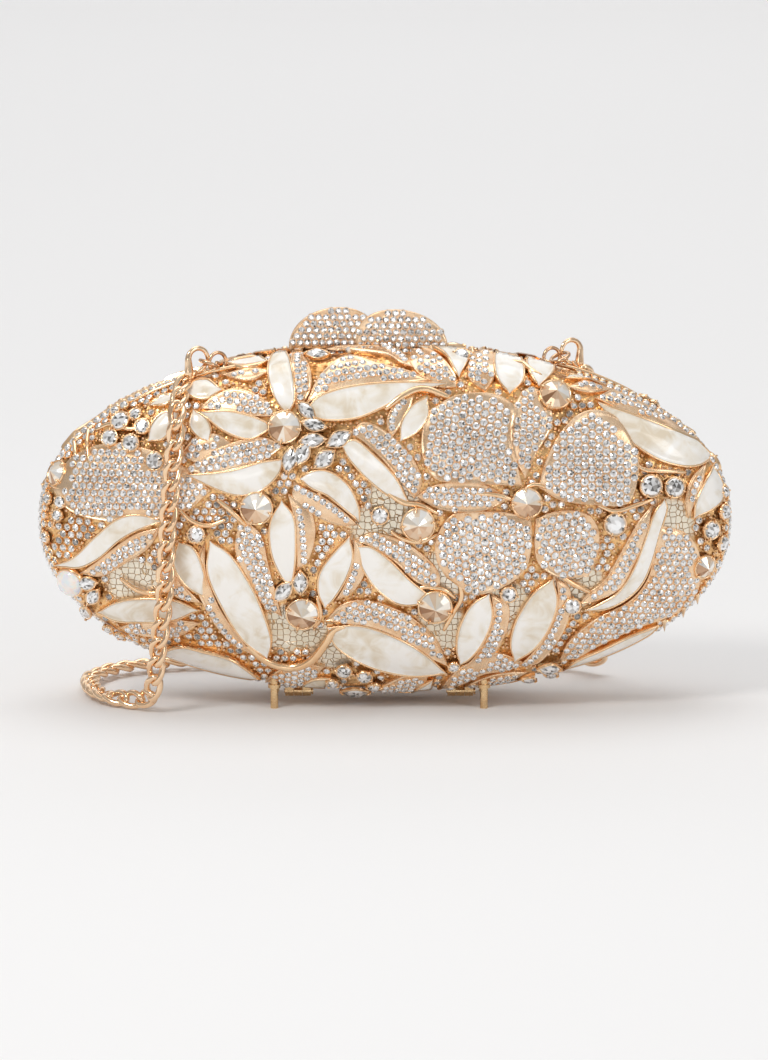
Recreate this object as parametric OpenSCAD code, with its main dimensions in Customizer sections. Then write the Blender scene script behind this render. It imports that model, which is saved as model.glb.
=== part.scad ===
// Hard-shell evening bag: two domed, jewelled half shells on metal rim frames, hinged along the
// bottom and shut by a petal-shaped thumb lever on top, with a detachable curb-chain strap.
// Frame: +X to the wearer's right across the width, -Y out of the front, +Z up, origin on the
// surface the bag stands on, midway between its four feet. Millimetres.

/* [Body] */
// Width of the rim frames
body_w = 236; // [215:1:250]
// Height of the rim frames
body_h = 117; // [108:1:122]
// Depth of one domed half, from the split plane to the crown of its shell
half_d = 28; // [24:0.5:30]
// How square the outline is: 2 is an ellipse, more is fuller at the shoulders
outline_power = 2.15; // [2:0.05:2.6]
// How square the dome's section is
dome_power = 2.3; // [2:0.05:2.8]
// Height of the rims above the surface the feet stand on
rim_gap = 5; // [4.6:0.1:6]

/* [Rim frames] */
// Depth of each rim frame, front to back
frame_d = 2.9; // [2:0.1:3.2]
// Width of the rim frames' metal, seen from the front
frame_t = 2.4; // [1.8:0.1:3]
// Gap that the split plane leaves on each side
split_gap = 0.2; // [0.15:0.05:0.4]

/* [Walls] */
// Thickness of the cast shells
shell_t = 1.4; // [1:0.1:1.8]
// Thickness of the embossed metallic skins under the casting
skin_t = 0.7; // [0.4:0.1:0.8]
// Thickness of the moulded lining trays
tray_t = 1.6; // [1:0.1:2]

/* [Hinges and feet] */
// Distance of each barrel hinge from the middle
hinge_x = 28; // [20:1:31]
// Radius of the hinge pins
pin_r = 0.8; // [0.6:0.05:1]
// Radius of the hinge barrels
barrel_r = 1.8; // [1.6:0.05:2]
// Distance of each foot from the middle, left to right
foot_x = 36; // [34:1:44]
// Distance of each foot from the split plane
foot_y = 14; // [12:0.5:18]
// How far hinges and feet sit off the middle, left to right
hardware_x = -2; // [-4:0.5:4]
// Radius of the feet
foot_r = 1.35; // [1:0.05:2]

/* [Clasp] */
// Middle of the clasp, left to right
clasp_x = -6; // [-12:1:6]
// Height of the petals above the rim
petal_h = 14.5; // [10:0.5:18]

/* [Strap] */
// Width of the curb chain
chain_w = 7; // [5:0.5:7]
// Mean radius of the stored coil
coil_r = 38; // [35:1:42]
// Height of the stored coil, three turns laid on each other
coil_h = 12; // [10:1:16]

/* [Hidden] */

fine = 48;                                   // $fn of turned pieces
a0 = body_w / 2;
b0 = body_h / 2;
mid_z = rim_gap + b0;                        // height of the outline's centre
shell_base = split_gap + frame_d;            // where the domed shells meet the frames
shell_a = a0 - 0.4;
shell_b = b0 - 0.4;
shell_d = half_d - shell_base;
skin_a = shell_a - shell_t - 0.3;
skin_b = shell_b - shell_t - 0.3;
skin_d = shell_d - shell_t - 0.3;
tray_base = split_gap + 0.3;
tray_a = a0 - frame_t - 0.3;
tray_b = b0 - frame_t - 0.3;
tray_d = shell_base - tray_base + skin_d - skin_t - 0.3;
hinge_z = rim_gap - barrel_r - 0.2;
gold = [0.93, 0.72, 0.45];
crystal = [0.9, 0.92, 0.95];
champagne = [0.93, 0.8, 0.62];
pearl = [0.95, 0.92, 0.85];
skin_gold = [0.86, 0.79, 0.62];

// ---- curves ----
function spow(v, p) = sign(v) * pow(abs(v), p);
// Point of a superellipse with half axes a and b at angle t
function se(a, b, t) = [a * spow(cos(t), 2 / outline_power), b * spow(sin(t), 2 / outline_power)];
function outline(a, b, n) = [for (i = [0:n - 1]) se(a, b, 360 * i / n)];
// How far (x, z) lies from the outline's centre, as a share of the shell's own outline
function share(x, z) = pow(
    pow(abs(x) / shell_a, outline_power) + pow(abs(z - mid_z) / shell_b, outline_power),
    1 / outline_power);
// Distance of the shell's face from the split plane at (x, z)
function depth(x, z) =
    let (r = min(share(x, z), 0.999))
    shell_base + shell_d * pow(1 - pow(r, dome_power), 1 / dome_power);
// Outward normal of the front shell's face at (x, z)
function face_normal(x, z) =
    let (e = 0.4,
         n = [(depth(x - e, z) - depth(x + e, z)) / (2 * e), -1,
              (depth(x, z - e) - depth(x, z + e)) / (2 * e)])
    n / norm(n);
// Point h above the front shell's face; past the outline it slides down beside the frame
function on_face(x, z, h) = [x, -depth(x, z), z] + h * face_normal(x, z);

// ---- ornament layout, front half, seen from the front: x and z in millimetres ----
// Leaf or petal: [base x, base z, tip x, tip z, width, bend, fullness]
LILY = [
    [-31, 102, -35, 121, 14, 1, 0.7],
    [-28, 104, 20, 110, 17, 3, 0.8],
    [-39, 100, -61, 103, 15, -2, 0.8],
    [-36, 91, -66, 84, 16, 3, 0.8],
    [-31, 84, -9, 68, 12, 2, 0.8],
    [-13, 95, 10, 75, 14, -1, 0.8],
];
ROSE = [
    [43, 81, 18, 103, 21, -2, 0.45],
    [56, 79.5, 79, 94, 23, 2, 0.45],
    [45, 67, 22, 51, 22, 2, 0.45],
    [53.5, 67.5, 69, 54, 17, -1, 0.45],
    [46, 75, 12, 76.5, 4.6, 0, 0.5],
    [49.5, 86, 50.5, 109, 8, 0, 0.6],
];
LEAVES = [
    [20, 109, 3, 95, 12, 2, 0.8],
    [-9, 63, 17, 46, 16, -3, 0.8],
    [-18, 34, 20, 18, 17, -2, 0.7],
    [-12, 62, -19, 40, 13, 1, 0.8],
    [-32, 77, -31, 47, 15, 2, 0.8],
    [-49, 64, -37, 37, 8, 1, 0.6],
    [-58, 60, -42, 23, 20, 2, 0.7],
    [-69, 60, -61, 43, 9, 0, 0.8],
    [-56, 73, -112, 78, 17, 3, 0.6],
    [-74, 82, -100, 93, 9, 2, 0.7],
    [-78, 66, -109, 54, 12, 3, 0.8],
    [-64, 37, -96, 37, 11, 1, 0.8],
    [-76, 22, -44, 13, 9, -1, 0.8],
    [-52, 108, -66, 101, 7, 1, 0.8],
    [-40, 116, -55, 115, 8, 1, 0.8],
    [-73, 102, -80, 94, 7, 0, 0.8],
    [-64, 104, -60, 94, 7, 0, 0.8],
    [11, 117, 24, 111, 11, 2, 0.7],
    [38, 121, 38, 110, 16, 0, 0.6],
    [54, 119, 52, 112, 7, 0, 0.7],
    [63, 112, 79, 110, 9, 2, 0.8],
    [73, 105, 109, 89, 18, -3, 0.7],
    [113, 80, 106, 67, 8, 0, 0.8],
    [93, 73, 67, 40, 14, -4, 0.8],
    [106, 59, 62, 25, 21, -5, 0.6],
    [97, 34, 61, 15, 8, -2, 0.8],
    [57, 46, 46, 22, 15, 0, 0.8],
    [34, 42, 26, 21, 14, 1, 0.8],
    [47, 18, 21, 11, 7, 1, 0.7],
    [49, 13, 20, 6, 6, 1, 0.8],
    [13, 9, -6, 6, 7, 0, 0.8],
    [-21, 15, -40, 11, 6, 0, 0.7],
];
// Round stones: [x, z, radius]
RIVOLIS = [
    [-34.5, 99, 5.4], [47.5, 73, 5], [12, 66, 5.6], [17.5, 38, 5.6], [-27, 36.5, 5.6],
    [-42, 72, 5.4], [57.5, 110, 5.4], [108.5, 54, 3.4],
];
CHATONS = [
    [-90, 99, 3.7], [-82.5, 97, 2.9], [-93, 93, 3.1], [-86, 92, 3.1], [-78.5, 88, 3.1],
    [-64.5, 64, 2.7], [-1, 70, 2.7], [42, 43, 2.6], [63, 38, 2.4], [90, 80, 4], [98.5, 80, 3.8],
    [78, 67, 4], [111.5, 66, 3], [-15, 14, 2.8], [-7, 12.5, 2.4], [28, 119, 2.6],
];
// Pointed oval stones: [x, z, length, width, angle]
NAVETTES = [
    [-26, 105, 7, 3.6, 45], [-25, 100, 7.5, 3.8, 8], [-25, 95, 8, 3.8, -8],
    [-16, 96, 8, 4, -30], [-32, 89, 7.5, 3.6, 95], [-28, 90.5, 8, 4, -65],
    [-21, 89.5, 8, 4.2, -38], [-34, 44, 8, 3.8, -48], [-28.5, 47.5, 7.5, 3.8, 85],
    [-101, 46, 7, 4, -15], [-99, 41.5, 7, 4, -50], [-11, 8, 9, 4.4, 0], [57, 17, 8, 5, 0],
];
CABOCHONS = [[-108, 47, 4.8], [-109.5, 82, 4]];

edge_h = 1.5;                                // height of a leaf's edge above the shell
ridge_h = 2.2;                               // height of its midrib
root_h = -0.2;                               // how far it is sunk and soldered
stations = 7;

// ---- small tools ----
module front() {
    children();
}
module back() {
    rotate([0, 0, 180]) children();
}
// Lies on the front shell at (x, z) with +Z along the face's outward normal
module seat(x, z, lift = 0) {
    n = face_normal(x, z);
    translate(on_face(x, z, lift)) rotate([0, acos(n[2]), atan2(n[1], n[0])]) children();
}
// A domed shell of one thickness: rings from the rim to the crown, outside then inside
module dome(a, b, base, d, wall, seg, rings) {
    function level(k) = sin(90 * k / rings);             // 0 at the crown, 1 at the rim
    function ring(a, b, d, k) = [
        for (i = [0:seg - 1])
            let (r = level(k), p = se(a * r, b * r, 360 * i / seg))
            [p[0], -base - d * pow(1 - pow(r, dome_power), 1 / dome_power), mid_z + p[1]]
    ];
    outer = [for (k = [rings:-1:1]) each ring(a, b, d, k)];
    inner = [for (k = [rings:-1:1]) each ring(a - wall, b - wall, d - wall, k)];
    count = seg * rings;
    crown = [[0, -base - d, mid_z], [0, -base - d + wall, mid_z]];
    function quad(p, q, r, s, flip) = flip ? [[p, q, r], [p, r, s]] : [[p, s, r], [p, r, q]];
    function walls(first, flip) = [
        for (k = [0:rings - 2]) for (i = [0:seg - 1])
            let (j = (i + 1) % seg, p = first + k * seg)
            each quad(p + i, p + j, p + seg + j, p + seg + i, flip)
    ];
    function cap(first, tip, flip) = [
        for (i = [0:seg - 1])
            let (j = (i + 1) % seg, p = first + (rings - 1) * seg)
            flip ? [p + i, p + j, tip] : [p + j, p + i, tip]
    ];
    function lip() = [
        for (i = [0:seg - 1])
            let (j = (i + 1) % seg)
            each quad(i, j, count + j, count + i, true)
    ];
    polyhedron(
        concat(outer, inner, crown),
        concat(walls(0, false), cap(0, 2 * count, false), walls(count, true),
               cap(count, 2 * count + 1, true), lip()));
}
// A band that follows the outline, from y = -y0 to -(y0 + d)
module band(a, b, t, y0, d) {
    translate([0, -y0, mid_z]) rotate([90, 0, 0]) linear_extrude(d) difference() {
        polygon(outline(a, b, 96));
        polygon(outline(a - t, b - t, 96));
    }
}
// Tube through points, with flat ends
module tube(points, r, sides = 8) {
    n = len(points);
    function along(i) =
        let (v = points[min(i + 1, n - 1)] - points[max(i - 1, 0)])
        v / norm(v);
    function across(t) = let (v = cross(t, abs(t[2]) > 0.9 ? [0, 1, 0] : [0, 0, 1])) v / norm(v);
    // each ring's own sideways direction, turned as little as possible from the last one's
    function carry(i, u) =
        let (t = along(i), v = u - (u * t) * t, w = v / norm(v))
        i == n - 1 ? [w] : concat([w], carry(i + 1, w));
    side = carry(0, across(along(0)));
    rings = [
        for (i = [0:n - 1]) let (t = along(i), u = side[i], v = cross(t, u))
            for (s = [0:sides - 1])
                points[i] + r * (cos(360 * s / sides) * u + sin(360 * s / sides) * v)
    ];
    walls = [
        for (i = [0:n - 2]) for (s = [0:sides - 1])
            let (q = (s + 1) % sides, a = i * sides, b = a + sides)
            each [[a + s, b + q, a + q], [a + s, b + s, b + q]]
    ];
    ends = [[for (s = [0:sides - 1]) s], [for (s = [sides - 1:-1:0]) (n - 1) * sides + s]];
    polyhedron(rings, concat(walls, ends));
}

// ---- ornament ----
// A raised leaf that follows the dome: two slopes down from a bent midrib
module leaf(l, lift) {
    from = [l[0], l[1]];
    to = [l[2], l[3]];
    dir = (to - from) / norm(to - from);
    side = [-dir[1], dir[0]];
    function spine(t) = from + t * (to - from) + 4 * l[5] * t * (1 - t) * side;
    function half(t) = l[4] / 2 * pow(sin(180 * (0.04 + 0.92 * t)), l[6]);
    function section(t) =
        let (c = spine(t), w = half(t), p = c - w * side, q = c + w * side)
        [on_face(p[0], p[1], edge_h + lift), on_face(c[0], c[1], ridge_h + lift),
         on_face(q[0], q[1], edge_h + lift), on_face(q[0], q[1], root_h - lift),
         on_face(c[0], c[1], root_h - lift), on_face(p[0], p[1], root_h - lift)];
    points = [for (k = [0:stations]) each section(k / stations)];
    walls = [
        for (k = [0:stations - 1]) for (s = [0:5])
            let (q = (s + 1) % 6, a = 6 * k, b = a + 6)
            each [[a + s, a + q, b + q], [a + s, b + q, b + s]]
    ];
    ends = [[5, 4, 3, 2, 1, 0], [for (s = [0:5]) 6 * stations + s]];
    polyhedron(points, concat(walls, ends));
}
module leaves(list) {
    for (i = [0:len(list) - 1]) leaf(list[i], 0.13 * (i % 4));
}
// A pointed-back stone whose visible face is a low cone
module rivoli(r) {
    translate([0, 0, 0.4]) cylinder(h = 1.6, r = r, $fn = fine);
    translate([0, 0, 2]) cylinder(h = r * 0.42, r1 = r, r2 = 0.3, $fn = fine);
}
// A round brilliant in its cup
module chaton(r) {
    translate([0, 0, 0.4]) cylinder(h = 2, r = r, $fn = fine);
    translate([0, 0, 2.4]) cylinder(h = r * 0.35, r1 = r, r2 = r * 0.55, $fn = fine);
}
// A pointed oval stone: where two round outlines cross
module navette(len, wide) {
    r = (len * len + wide * wide) / (4 * wide);
    translate([0, 0, 0.4]) linear_extrude(3) intersection() {
        translate([0, r - wide / 2]) circle(r, $fn = 96);
        translate([0, wide / 2 - r]) circle(r, $fn = 96);
    }
}
module cabochon(r) {
    translate([0, 0, 0.4]) cylinder(h = 1.4, r = r, $fn = fine);
    translate([0, 0, 1.75 - r * 0.6]) intersection() {
        sphere(r * 1.166, $fn = fine);
        translate([0, 0, r * 0.6]) cylinder(h = r, r = r * 1.2, $fn = fine);
    }
}
module rivolis() {
    color(champagne) for (s = RIVOLIS) seat(s[0], s[1], 0.6) rivoli(s[2]);
}
module chatons() {
    color(crystal) for (s = CHATONS) seat(s[0], s[1], 0.6) chaton(s[2]);
}
module navettes() {
    color(crystal) for (s = NAVETTES) seat(s[0], s[1], 0.6) rotate([0, 0, 90 - s[4]]) navette(s[2], s[3]);
}
module cabochons() {
    color(pearl) for (s = CABOCHONS) seat(s[0], s[1], 0.8) cabochon(s[2]);
}

// ---- the halves ----
module shell() {
    color(gold) dome(shell_a, shell_b, shell_base, shell_d, shell_t, 56, 9);
}
module skin() {
    color(skin_gold) dome(skin_a, skin_b, shell_base, skin_d, skin_t, 56, 9);
}
module lining() {
    color(skin_gold) dome(tray_a, tray_b, tray_base, tray_d, tray_t, 40, 7);
}
module frame() {
    color(gold) band(a0, b0, frame_t, split_gap, frame_d);
}
// The string of small set stones round the rim frame
module cup_chain() {
    color(crystal) difference() {
        band(a0 + 1.5, b0 + 1.5, 1.5, split_gap + 0.4, 2.2);
        // clear of the hinges, the clasp and the rings
        for (side = [-1, 1]) {
            translate([side * hinge_x - 9, -5, 0]) cube([18, 10, 8]);
            translate([side * ring_x - 8, -5, mid_z]) cube([16, 10, 80]);
        }
        translate([-19, -5, mid_z]) cube([38, 10, 80]);
    }
}
module feet() {
    top = mid_z - shell_b * pow(1 - pow((foot_y - shell_base) / shell_d, dome_power), 1 / dome_power);
    color(gold) for (side = [-1, 1]) translate([side * foot_x, -foot_y, 0]) {
        cylinder(h = top + 1.5, r = foot_r, $fn = fine);
        translate([0, 0, top - 2.2]) cylinder(h = 1.2, r = foot_r + 0.8, $fn = fine);
    }
}

// ---- hinges ----
knuckle = 3;                                 // length of one knuckle
knuckle_gap = 0.1;
// One knuckle with its leaf running out under the rim frame towards -Y
module knuckle_leaf() {
    difference() {
        union() {
            rotate([0, 90, 0]) cylinder(h = knuckle - knuckle_gap, r = barrel_r, center = true, $fn = fine);
            translate([-(knuckle - knuckle_gap) / 2, -shell_base, barrel_r - 0.9])
                cube([knuckle - knuckle_gap, shell_base, 0.9]);
            translate([-(knuckle - knuckle_gap) / 2, -shell_base, barrel_r - 0.9])
                cube([knuckle - knuckle_gap, 1.6, 1.8]);
        }
        rotate([0, 90, 0]) cylinder(h = knuckle + 1, r = pin_r + 0.05, center = true, $fn = fine);
    }
}
module hinge_leaves(places, turn) {
    color(gold) for (side = [-1, 1]) for (x = places)
        translate([hardware_x + side * hinge_x + x, 0, hinge_z]) rotate([0, 0, turn]) knuckle_leaf();
}
module hinge_pins() {
    color(gold) for (side = [-1, 1]) translate([hardware_x + side * hinge_x, 0, hinge_z]) rotate([0, 90, 0]) {
        cylinder(h = 3 * knuckle + 0.6, r = pin_r, center = true, $fn = fine);
        translate([0, 0, 1.5 * knuckle + 0.1]) cylinder(h = 0.6, r = pin_r + 0.5, $fn = fine);
    }
}

// ---- clasp ----
rim_top = mid_z + b0;
pivot_y = 6.4;
pivot_z = rim_top + 3.4;
lever_len = 13;
petal_z = rim_top + 2.7;                     // where the petals' lower edge is
petal_t = 1.2;
module clasp_catch() {
    color(gold) translate([clasp_x, -split_gap - 0.4, rim_top]) {
        translate([-5, -2.2, -0.6]) cube([10, 2.2, 1.2]);
        translate([0, -1.1, 0.6]) rotate([0, 90, 0]) cylinder(h = 10, r = 0.7, center = true, $fn = fine);
    }
}
module clasp_bracket() {
    ear = 2;
    color(gold) difference() {
        union() {
            translate([clasp_x - lever_len / 2 - ear - 0.3, 1, rim_top - 0.5])
                cube([lever_len + 2 * ear + 0.6, 8, 1.2]);
            for (side = [-1, 1])
                translate([clasp_x + side * (lever_len / 2 + 0.3 + ear / 2), pivot_y, 0]) {
                    translate([-ear / 2, -1.9, rim_top - 0.2]) cube([ear, 3.8, pivot_z - rim_top + 0.2]);
                    translate([0, 0, pivot_z]) rotate([0, 90, 0])
                        cylinder(h = ear, r = 1.9, center = true, $fn = fine);
                }
        }
        translate([clasp_x, pivot_y, pivot_z]) rotate([0, 90, 0])
            cylinder(h = lever_len + 10, r = pin_r, center = true, $fn = fine);
    }
}
module clasp_pin() {
    color(gold) translate([clasp_x, pivot_y, pivot_z]) rotate([0, 90, 0])
        cylinder(h = lever_len + 4.6, r = pin_r, center = true, $fn = fine);
}
// Torsion spring round the pin, in the gap between the lever's two barrels
module clasp_spring() {
    turns = 4;
    steps = 12;
    wire = 0.28;
    coil = pin_r + 0.55;
    span = 3;
    color("silver") tube([
        for (i = [0:turns * steps])
            let (t = 360 * i / steps)
            [clasp_x - span / 2 + span * i / (turns * steps), pivot_y + coil * cos(t), pivot_z + coil * sin(t)]
    ], wire, 6);
}
module clasp_lever() {
    barrel = (lever_len - 5) / 2;
    color(gold) difference() {
        union() {
            for (side = [-1, 1])
                translate([clasp_x + side * (lever_len / 2 - barrel / 2), pivot_y, pivot_z]) {
                    rotate([0, 90, 0]) cylinder(h = barrel, r = 1.6, center = true, $fn = fine);
                    translate([-barrel / 2, -3.9, 0]) cube([barrel, 3.9, 1.2]);
                }
            // plate behind the petals
            translate([clasp_x - 12, 2.2, petal_z + 0.2]) cube([24, 1.2, 8]);
            // tongue that reaches forward under the petals, over the catch
            translate([clasp_x - 4, -3.2, petal_z - 1]) cube([8, 6.6, 0.8]);
            translate([clasp_x - 4, 2.2, petal_z - 1]) cube([8, 1.2, 2]);
        }
        translate([clasp_x, pivot_y, pivot_z]) rotate([0, 90, 0])
            cylinder(h = lever_len + 1, r = pin_r + 0.05, center = true, $fn = fine);
    }
}
// Petal plate: half an oval standing on its lower edge
module petal(x, half_w, high, y) {
    color(gold) translate([x, y, petal_z]) rotate([90, 0, 0]) linear_extrude(petal_t, center = true)
        polygon([for (i = [0:24]) [half_w * cos(7.5 * i), high * pow(sin(7.5 * i), 0.8)]]);
}

// ---- strap ----
ring_r = 3.2;
ring_wire = 0.7;
ring_x = 57.5;
eyelet_y = 5;
eyelet_z = mid_z + shell_b * pow(1 - pow(ring_x / shell_a, outline_power), 1 / outline_power) + 1.9;
ring_lean = 66;                              // how far the rings are pulled over to the side
claw_turn = 30;                              // turn of eyelet, ring and claw out of the split plane
module torus(big, small, turn = 360) {
    rotate_extrude(angle = turn, $fn = fine) translate([big, 0]) circle(small, $fn = 24);
}
// Puts its children at the left eyelet, turned with it
module left_tackle() {
    translate([-ring_x, -eyelet_y, eyelet_z]) rotate([0, 0, claw_turn]) children();
}
module right_tackle() {
    rotate([0, 0, 180]) left_tackle() children();
}
// Loop brazed on the shell's shoulder, its hole running front to back
module eyelet() {
    color(gold) rotate([90, 0, 0]) torus(2.2, 0.6);
}
// Jump ring through the eyelet, leaning over to the claw's side
module ring() {
    color(gold) rotate([0, -ring_lean, 0]) translate([0, 0, ring_r]) rotate([0, 90, 0]) torus(ring_r, ring_wire);
}
// Lobster claw in its own frame: hook round the origin, eye for the chain below it
claw_t = 1.9;
claw_r = 4.6;
claw_hole = 2.9;
eye_z = -8.6;
gate_pivot = [1.9, -4.3];
claw_lean = 28;                              // how far a claw's eye hangs out to the side
claw_slack = 1.6;                            // how far the hook's middle is past the ring's wire
module claw_outline() {
    hull() {
        circle(claw_r, $fn = fine);
        translate([0, -6.4]) circle(1.9, $fn = fine);
    }
    translate([0, eye_z]) circle(1.9, $fn = fine);
}
module claw() {
    color(gold) rotate([90, 0, 0]) linear_extrude(claw_t, center = true) difference() {
        claw_outline();
        circle(claw_hole, $fn = fine);
        translate([0, eye_z]) circle(0.9, $fn = fine);
        // mouth, and the round seat that the gate's knuckle turns in
        translate([0.6, -3.6]) square([6, 4.4]);
        translate([0.6, gate_pivot[1]]) square([2.15, 0.8]);
        translate(gate_pivot) circle(0.85, $fn = fine);
    }
}
// The sprung gate that shuts the mouth, with its thumb stud
module gate() {
    color(gold) rotate([90, 0, 0]) linear_extrude(claw_t - 0.4, center = true) {
        difference() {
            intersection() {
                circle(claw_r - 0.1, $fn = fine);
                translate([1, -3.5]) square([4, 3.7]);
            }
            circle(claw_hole + 0.1, $fn = fine);
        }
        translate([1.3, gate_pivot[1]]) square([1.3, 1.4]);
        translate(gate_pivot) circle(0.8, $fn = fine);
        // thumb stud
        translate([4.2, -2.4]) circle(0.8, $fn = fine);
    }
}
// Hangs its children off the far side of the leaning ring
module clip() {
    reach = 2 * ring_r + claw_slack;
    translate([-reach * sin(ring_lean), 0, reach * cos(ring_lean)]) rotate([0, claw_lean, 0]) children();
}

// ---- the chain's route: straight off the left claw, over the front, down, and round behind ----
rest_h = ridge_h + chain_w / 2 + 0.5;        // chain's middle above the shell where it lies on leaves
DROP = concat(
    [for (p = [[-70, 108.5], [-71, 102], [-72, 95], [-73, 86], [-74, 76], [-75, 64]])
        on_face(p[0], p[1], rest_h)],
    [[-76.5, -31.5, 51], [-77.5, -30.5, 38], [-78.5, -28.5, 26], [-80, -26, 14], [-81.5, -23, 6.5],
     [-85.5, -18.5, 3.6], [-91.5, -14, 3.5], [-98, -8.5, 3.5], [-103, 1, 3.5], [-105, 12.5, 3.5]]
);
TAIL = [
    [-105, 14.5, 3.5], [-104, 22, 3.5], [-100, 31, 3.5], [-92, 39, 3.5], [-80, 45, 3.5],
    [-65, 49, 3.5], [-48, 50.5, 3.5],
];
RISE = concat(
    [[41, 61, 3.5], [54, 52, 3.5], [65, 44, 4], [71.5, 38.5, 8.5], [74, 35.5, 17], [75, 34, 28],
     [75.5, 33.5, 40]],
    [for (p = [[-75.5, 52], [-75, 64], [-74, 76], [-73, 86], [-72, 95], [-71, 102], [-70, 108.5]])
        let (q = on_face(p[0], p[1], rest_h)) [-q[0], -q[1], q[2]]]
);
coil_at = [0, 88];
module strap_coil() {
    inner = coil_r - chain_w / 2;
    color(gold) translate([coil_at[0], coil_at[1], 0]) rotate_extrude($fn = 96)
        translate([inner, 0]) square([chain_w, coil_h]);
}

front() shell();  // front_shell
front() skin();  // front_skin
front() lining();  // front_lining
front() frame();  // front_frame
front() cup_chain();  // front_cup_chain
color(pearl) leaves(LILY);  // front_lily
color(gold) leaves(ROSE);  // front_rose
color(pearl) leaves(LEAVES);  // front_leaves
front() rivolis();  // front_rivolis
front() chatons();  // front_chatons
front() navettes();  // front_navettes
front() cabochons();  // front_cabochons
translate([hardware_x, 0, 0]) feet();  // front_feet
hinge_leaves([-knuckle, knuckle], 0);  // front_hinge_leaves
clasp_catch();
left_tackle() eyelet();  // left_eyelet
left_tackle() ring();  // left_ring
left_tackle() clip() claw();  // left_claw
left_tackle() clip() gate();  // left_claw_trigger
color(gold) tube(DROP, chain_w / 2);  // strap_drop
back() shell();  // back_shell
back() skin();  // back_skin
back() lining();  // back_lining
back() frame();  // back_frame
back() cup_chain();  // back_cup_chain
color(pearl) back() leaves(LILY);  // back_lily
color(gold) back() leaves(ROSE);  // back_rose
color(pearl) back() leaves(LEAVES);  // back_leaves
back() rivolis();  // back_rivolis
back() chatons();  // back_chatons
back() navettes();  // back_navettes
back() cabochons();  // back_cabochons
translate([hardware_x, 0, 0]) back() feet();  // back_feet
hinge_leaves([0], 180);  // back_hinge_leaves
hinge_pins();
clasp_bracket();
clasp_pin();
clasp_spring();
clasp_lever();
petal(clasp_x - 11.5, 15.5, petal_h, 1.6);  // clasp_petal_left
petal(clasp_x + 11, 15.5, petal_h - 0.5, 0.4);  // clasp_petal_right
right_tackle() eyelet();  // right_eyelet
right_tackle() ring();  // right_ring
right_tackle() clip() claw();  // right_claw
right_tackle() clip() gate();  // right_claw_trigger
color(gold) tube(TAIL, chain_w / 2);  // strap_tail
strap_coil();
color(gold) tube(RISE, chain_w / 2);  // strap_rise
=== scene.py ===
import math
import bpy
import numpy as np
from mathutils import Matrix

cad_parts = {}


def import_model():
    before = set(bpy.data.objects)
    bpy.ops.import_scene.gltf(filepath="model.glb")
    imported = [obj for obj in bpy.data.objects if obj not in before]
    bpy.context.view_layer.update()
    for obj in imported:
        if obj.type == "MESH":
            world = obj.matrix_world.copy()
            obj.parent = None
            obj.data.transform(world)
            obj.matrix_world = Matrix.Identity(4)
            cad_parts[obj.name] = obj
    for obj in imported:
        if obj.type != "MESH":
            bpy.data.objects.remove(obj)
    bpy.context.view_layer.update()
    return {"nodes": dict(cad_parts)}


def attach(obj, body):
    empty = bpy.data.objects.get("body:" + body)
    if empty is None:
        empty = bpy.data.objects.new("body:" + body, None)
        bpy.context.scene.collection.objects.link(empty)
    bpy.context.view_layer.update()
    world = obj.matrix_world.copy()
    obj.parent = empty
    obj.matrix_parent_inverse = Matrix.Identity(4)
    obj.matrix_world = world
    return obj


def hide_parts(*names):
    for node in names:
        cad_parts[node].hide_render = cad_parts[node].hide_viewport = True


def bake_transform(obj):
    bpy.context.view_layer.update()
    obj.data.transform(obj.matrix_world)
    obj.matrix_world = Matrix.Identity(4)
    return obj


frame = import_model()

RNG = np.random.default_rng(7)
MM = 0.001

# ---------------------------------------------------------------- the bag's own sizes, in millimetres
A, B, MID = 117.6, 58.1, 63.5            # half width and half height of a shell, height of its middle
BASE, DOME = 3.1, 24.9                   # where a shell meets its frame, and how far it bulges from there
OUTLINE, SECTION = 2.15, 2.3             # powers of the outline and of the dome's section
SEEN_FROM = math.radians(11)             # the ornament is laid out as seen from this far above
EDGE_Y = 24.0                            # depth at which that layout is true to size


def share(x, z):
    r = (np.abs(x) / A) ** OUTLINE + (np.abs(z - MID) / B) ** OUTLINE
    return r ** (1 / OUTLINE)


def dome(x, z):
    """Distance of the shell's face from the split plane; past the rim it runs on down beside the frame."""
    r = share(x, z)
    k = 0.965
    c = np.minimum(r, k)
    d = BASE + DOME * (1 - c ** SECTION) ** (1 / SECTION)
    return np.maximum(d - np.maximum(r - k, 0) * 200, 1.5)


def face(x, z, h):
    """Points h above the front shell's face."""
    x, z, h = np.broadcast_arrays(*(np.asarray(v, float) for v in (x, z, h)))
    e = 0.5
    gx = (dome(x - e, z) - dome(x + e, z)) / (2 * e)
    gz = (dome(x, z - e) - dome(x, z + e)) / (2 * e)
    g = np.sqrt(gx * gx + gz * gz) + 1e-9
    k = np.minimum(g, 1.6) / g
    n = np.stack([gx * k, -np.ones_like(gx), gz * k], -1)
    n /= np.linalg.norm(n, axis=-1, keepdims=True)
    return np.stack([x, -dome(x, z), z], -1) + h[..., None] * n, n


def seen(p, reach=0.99):
    """Points as seen from SEEN_FROM above the front, to x and true height, kept within reach of the rim."""
    p = np.asarray(p, float).reshape(-1, 2)
    z = p[:, 1].copy()
    for _ in range(6):
        z = p[:, 1] - (EDGE_Y - dome(p[:, 0], z)) * math.tan(SEEN_FROM)
    q = np.stack([p[:, 0], z - MID], -1)
    top = np.clip((62 - np.abs(p[:, 0])) / 8, 0, 1) * (z > MID)
    reach = 0.995 + (reach - 0.995) * top if reach > 1 else reach
    return q * np.minimum(1, reach / share(q[:, 0], q[:, 1] + MID))[:, None] + [0, MID]


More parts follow.
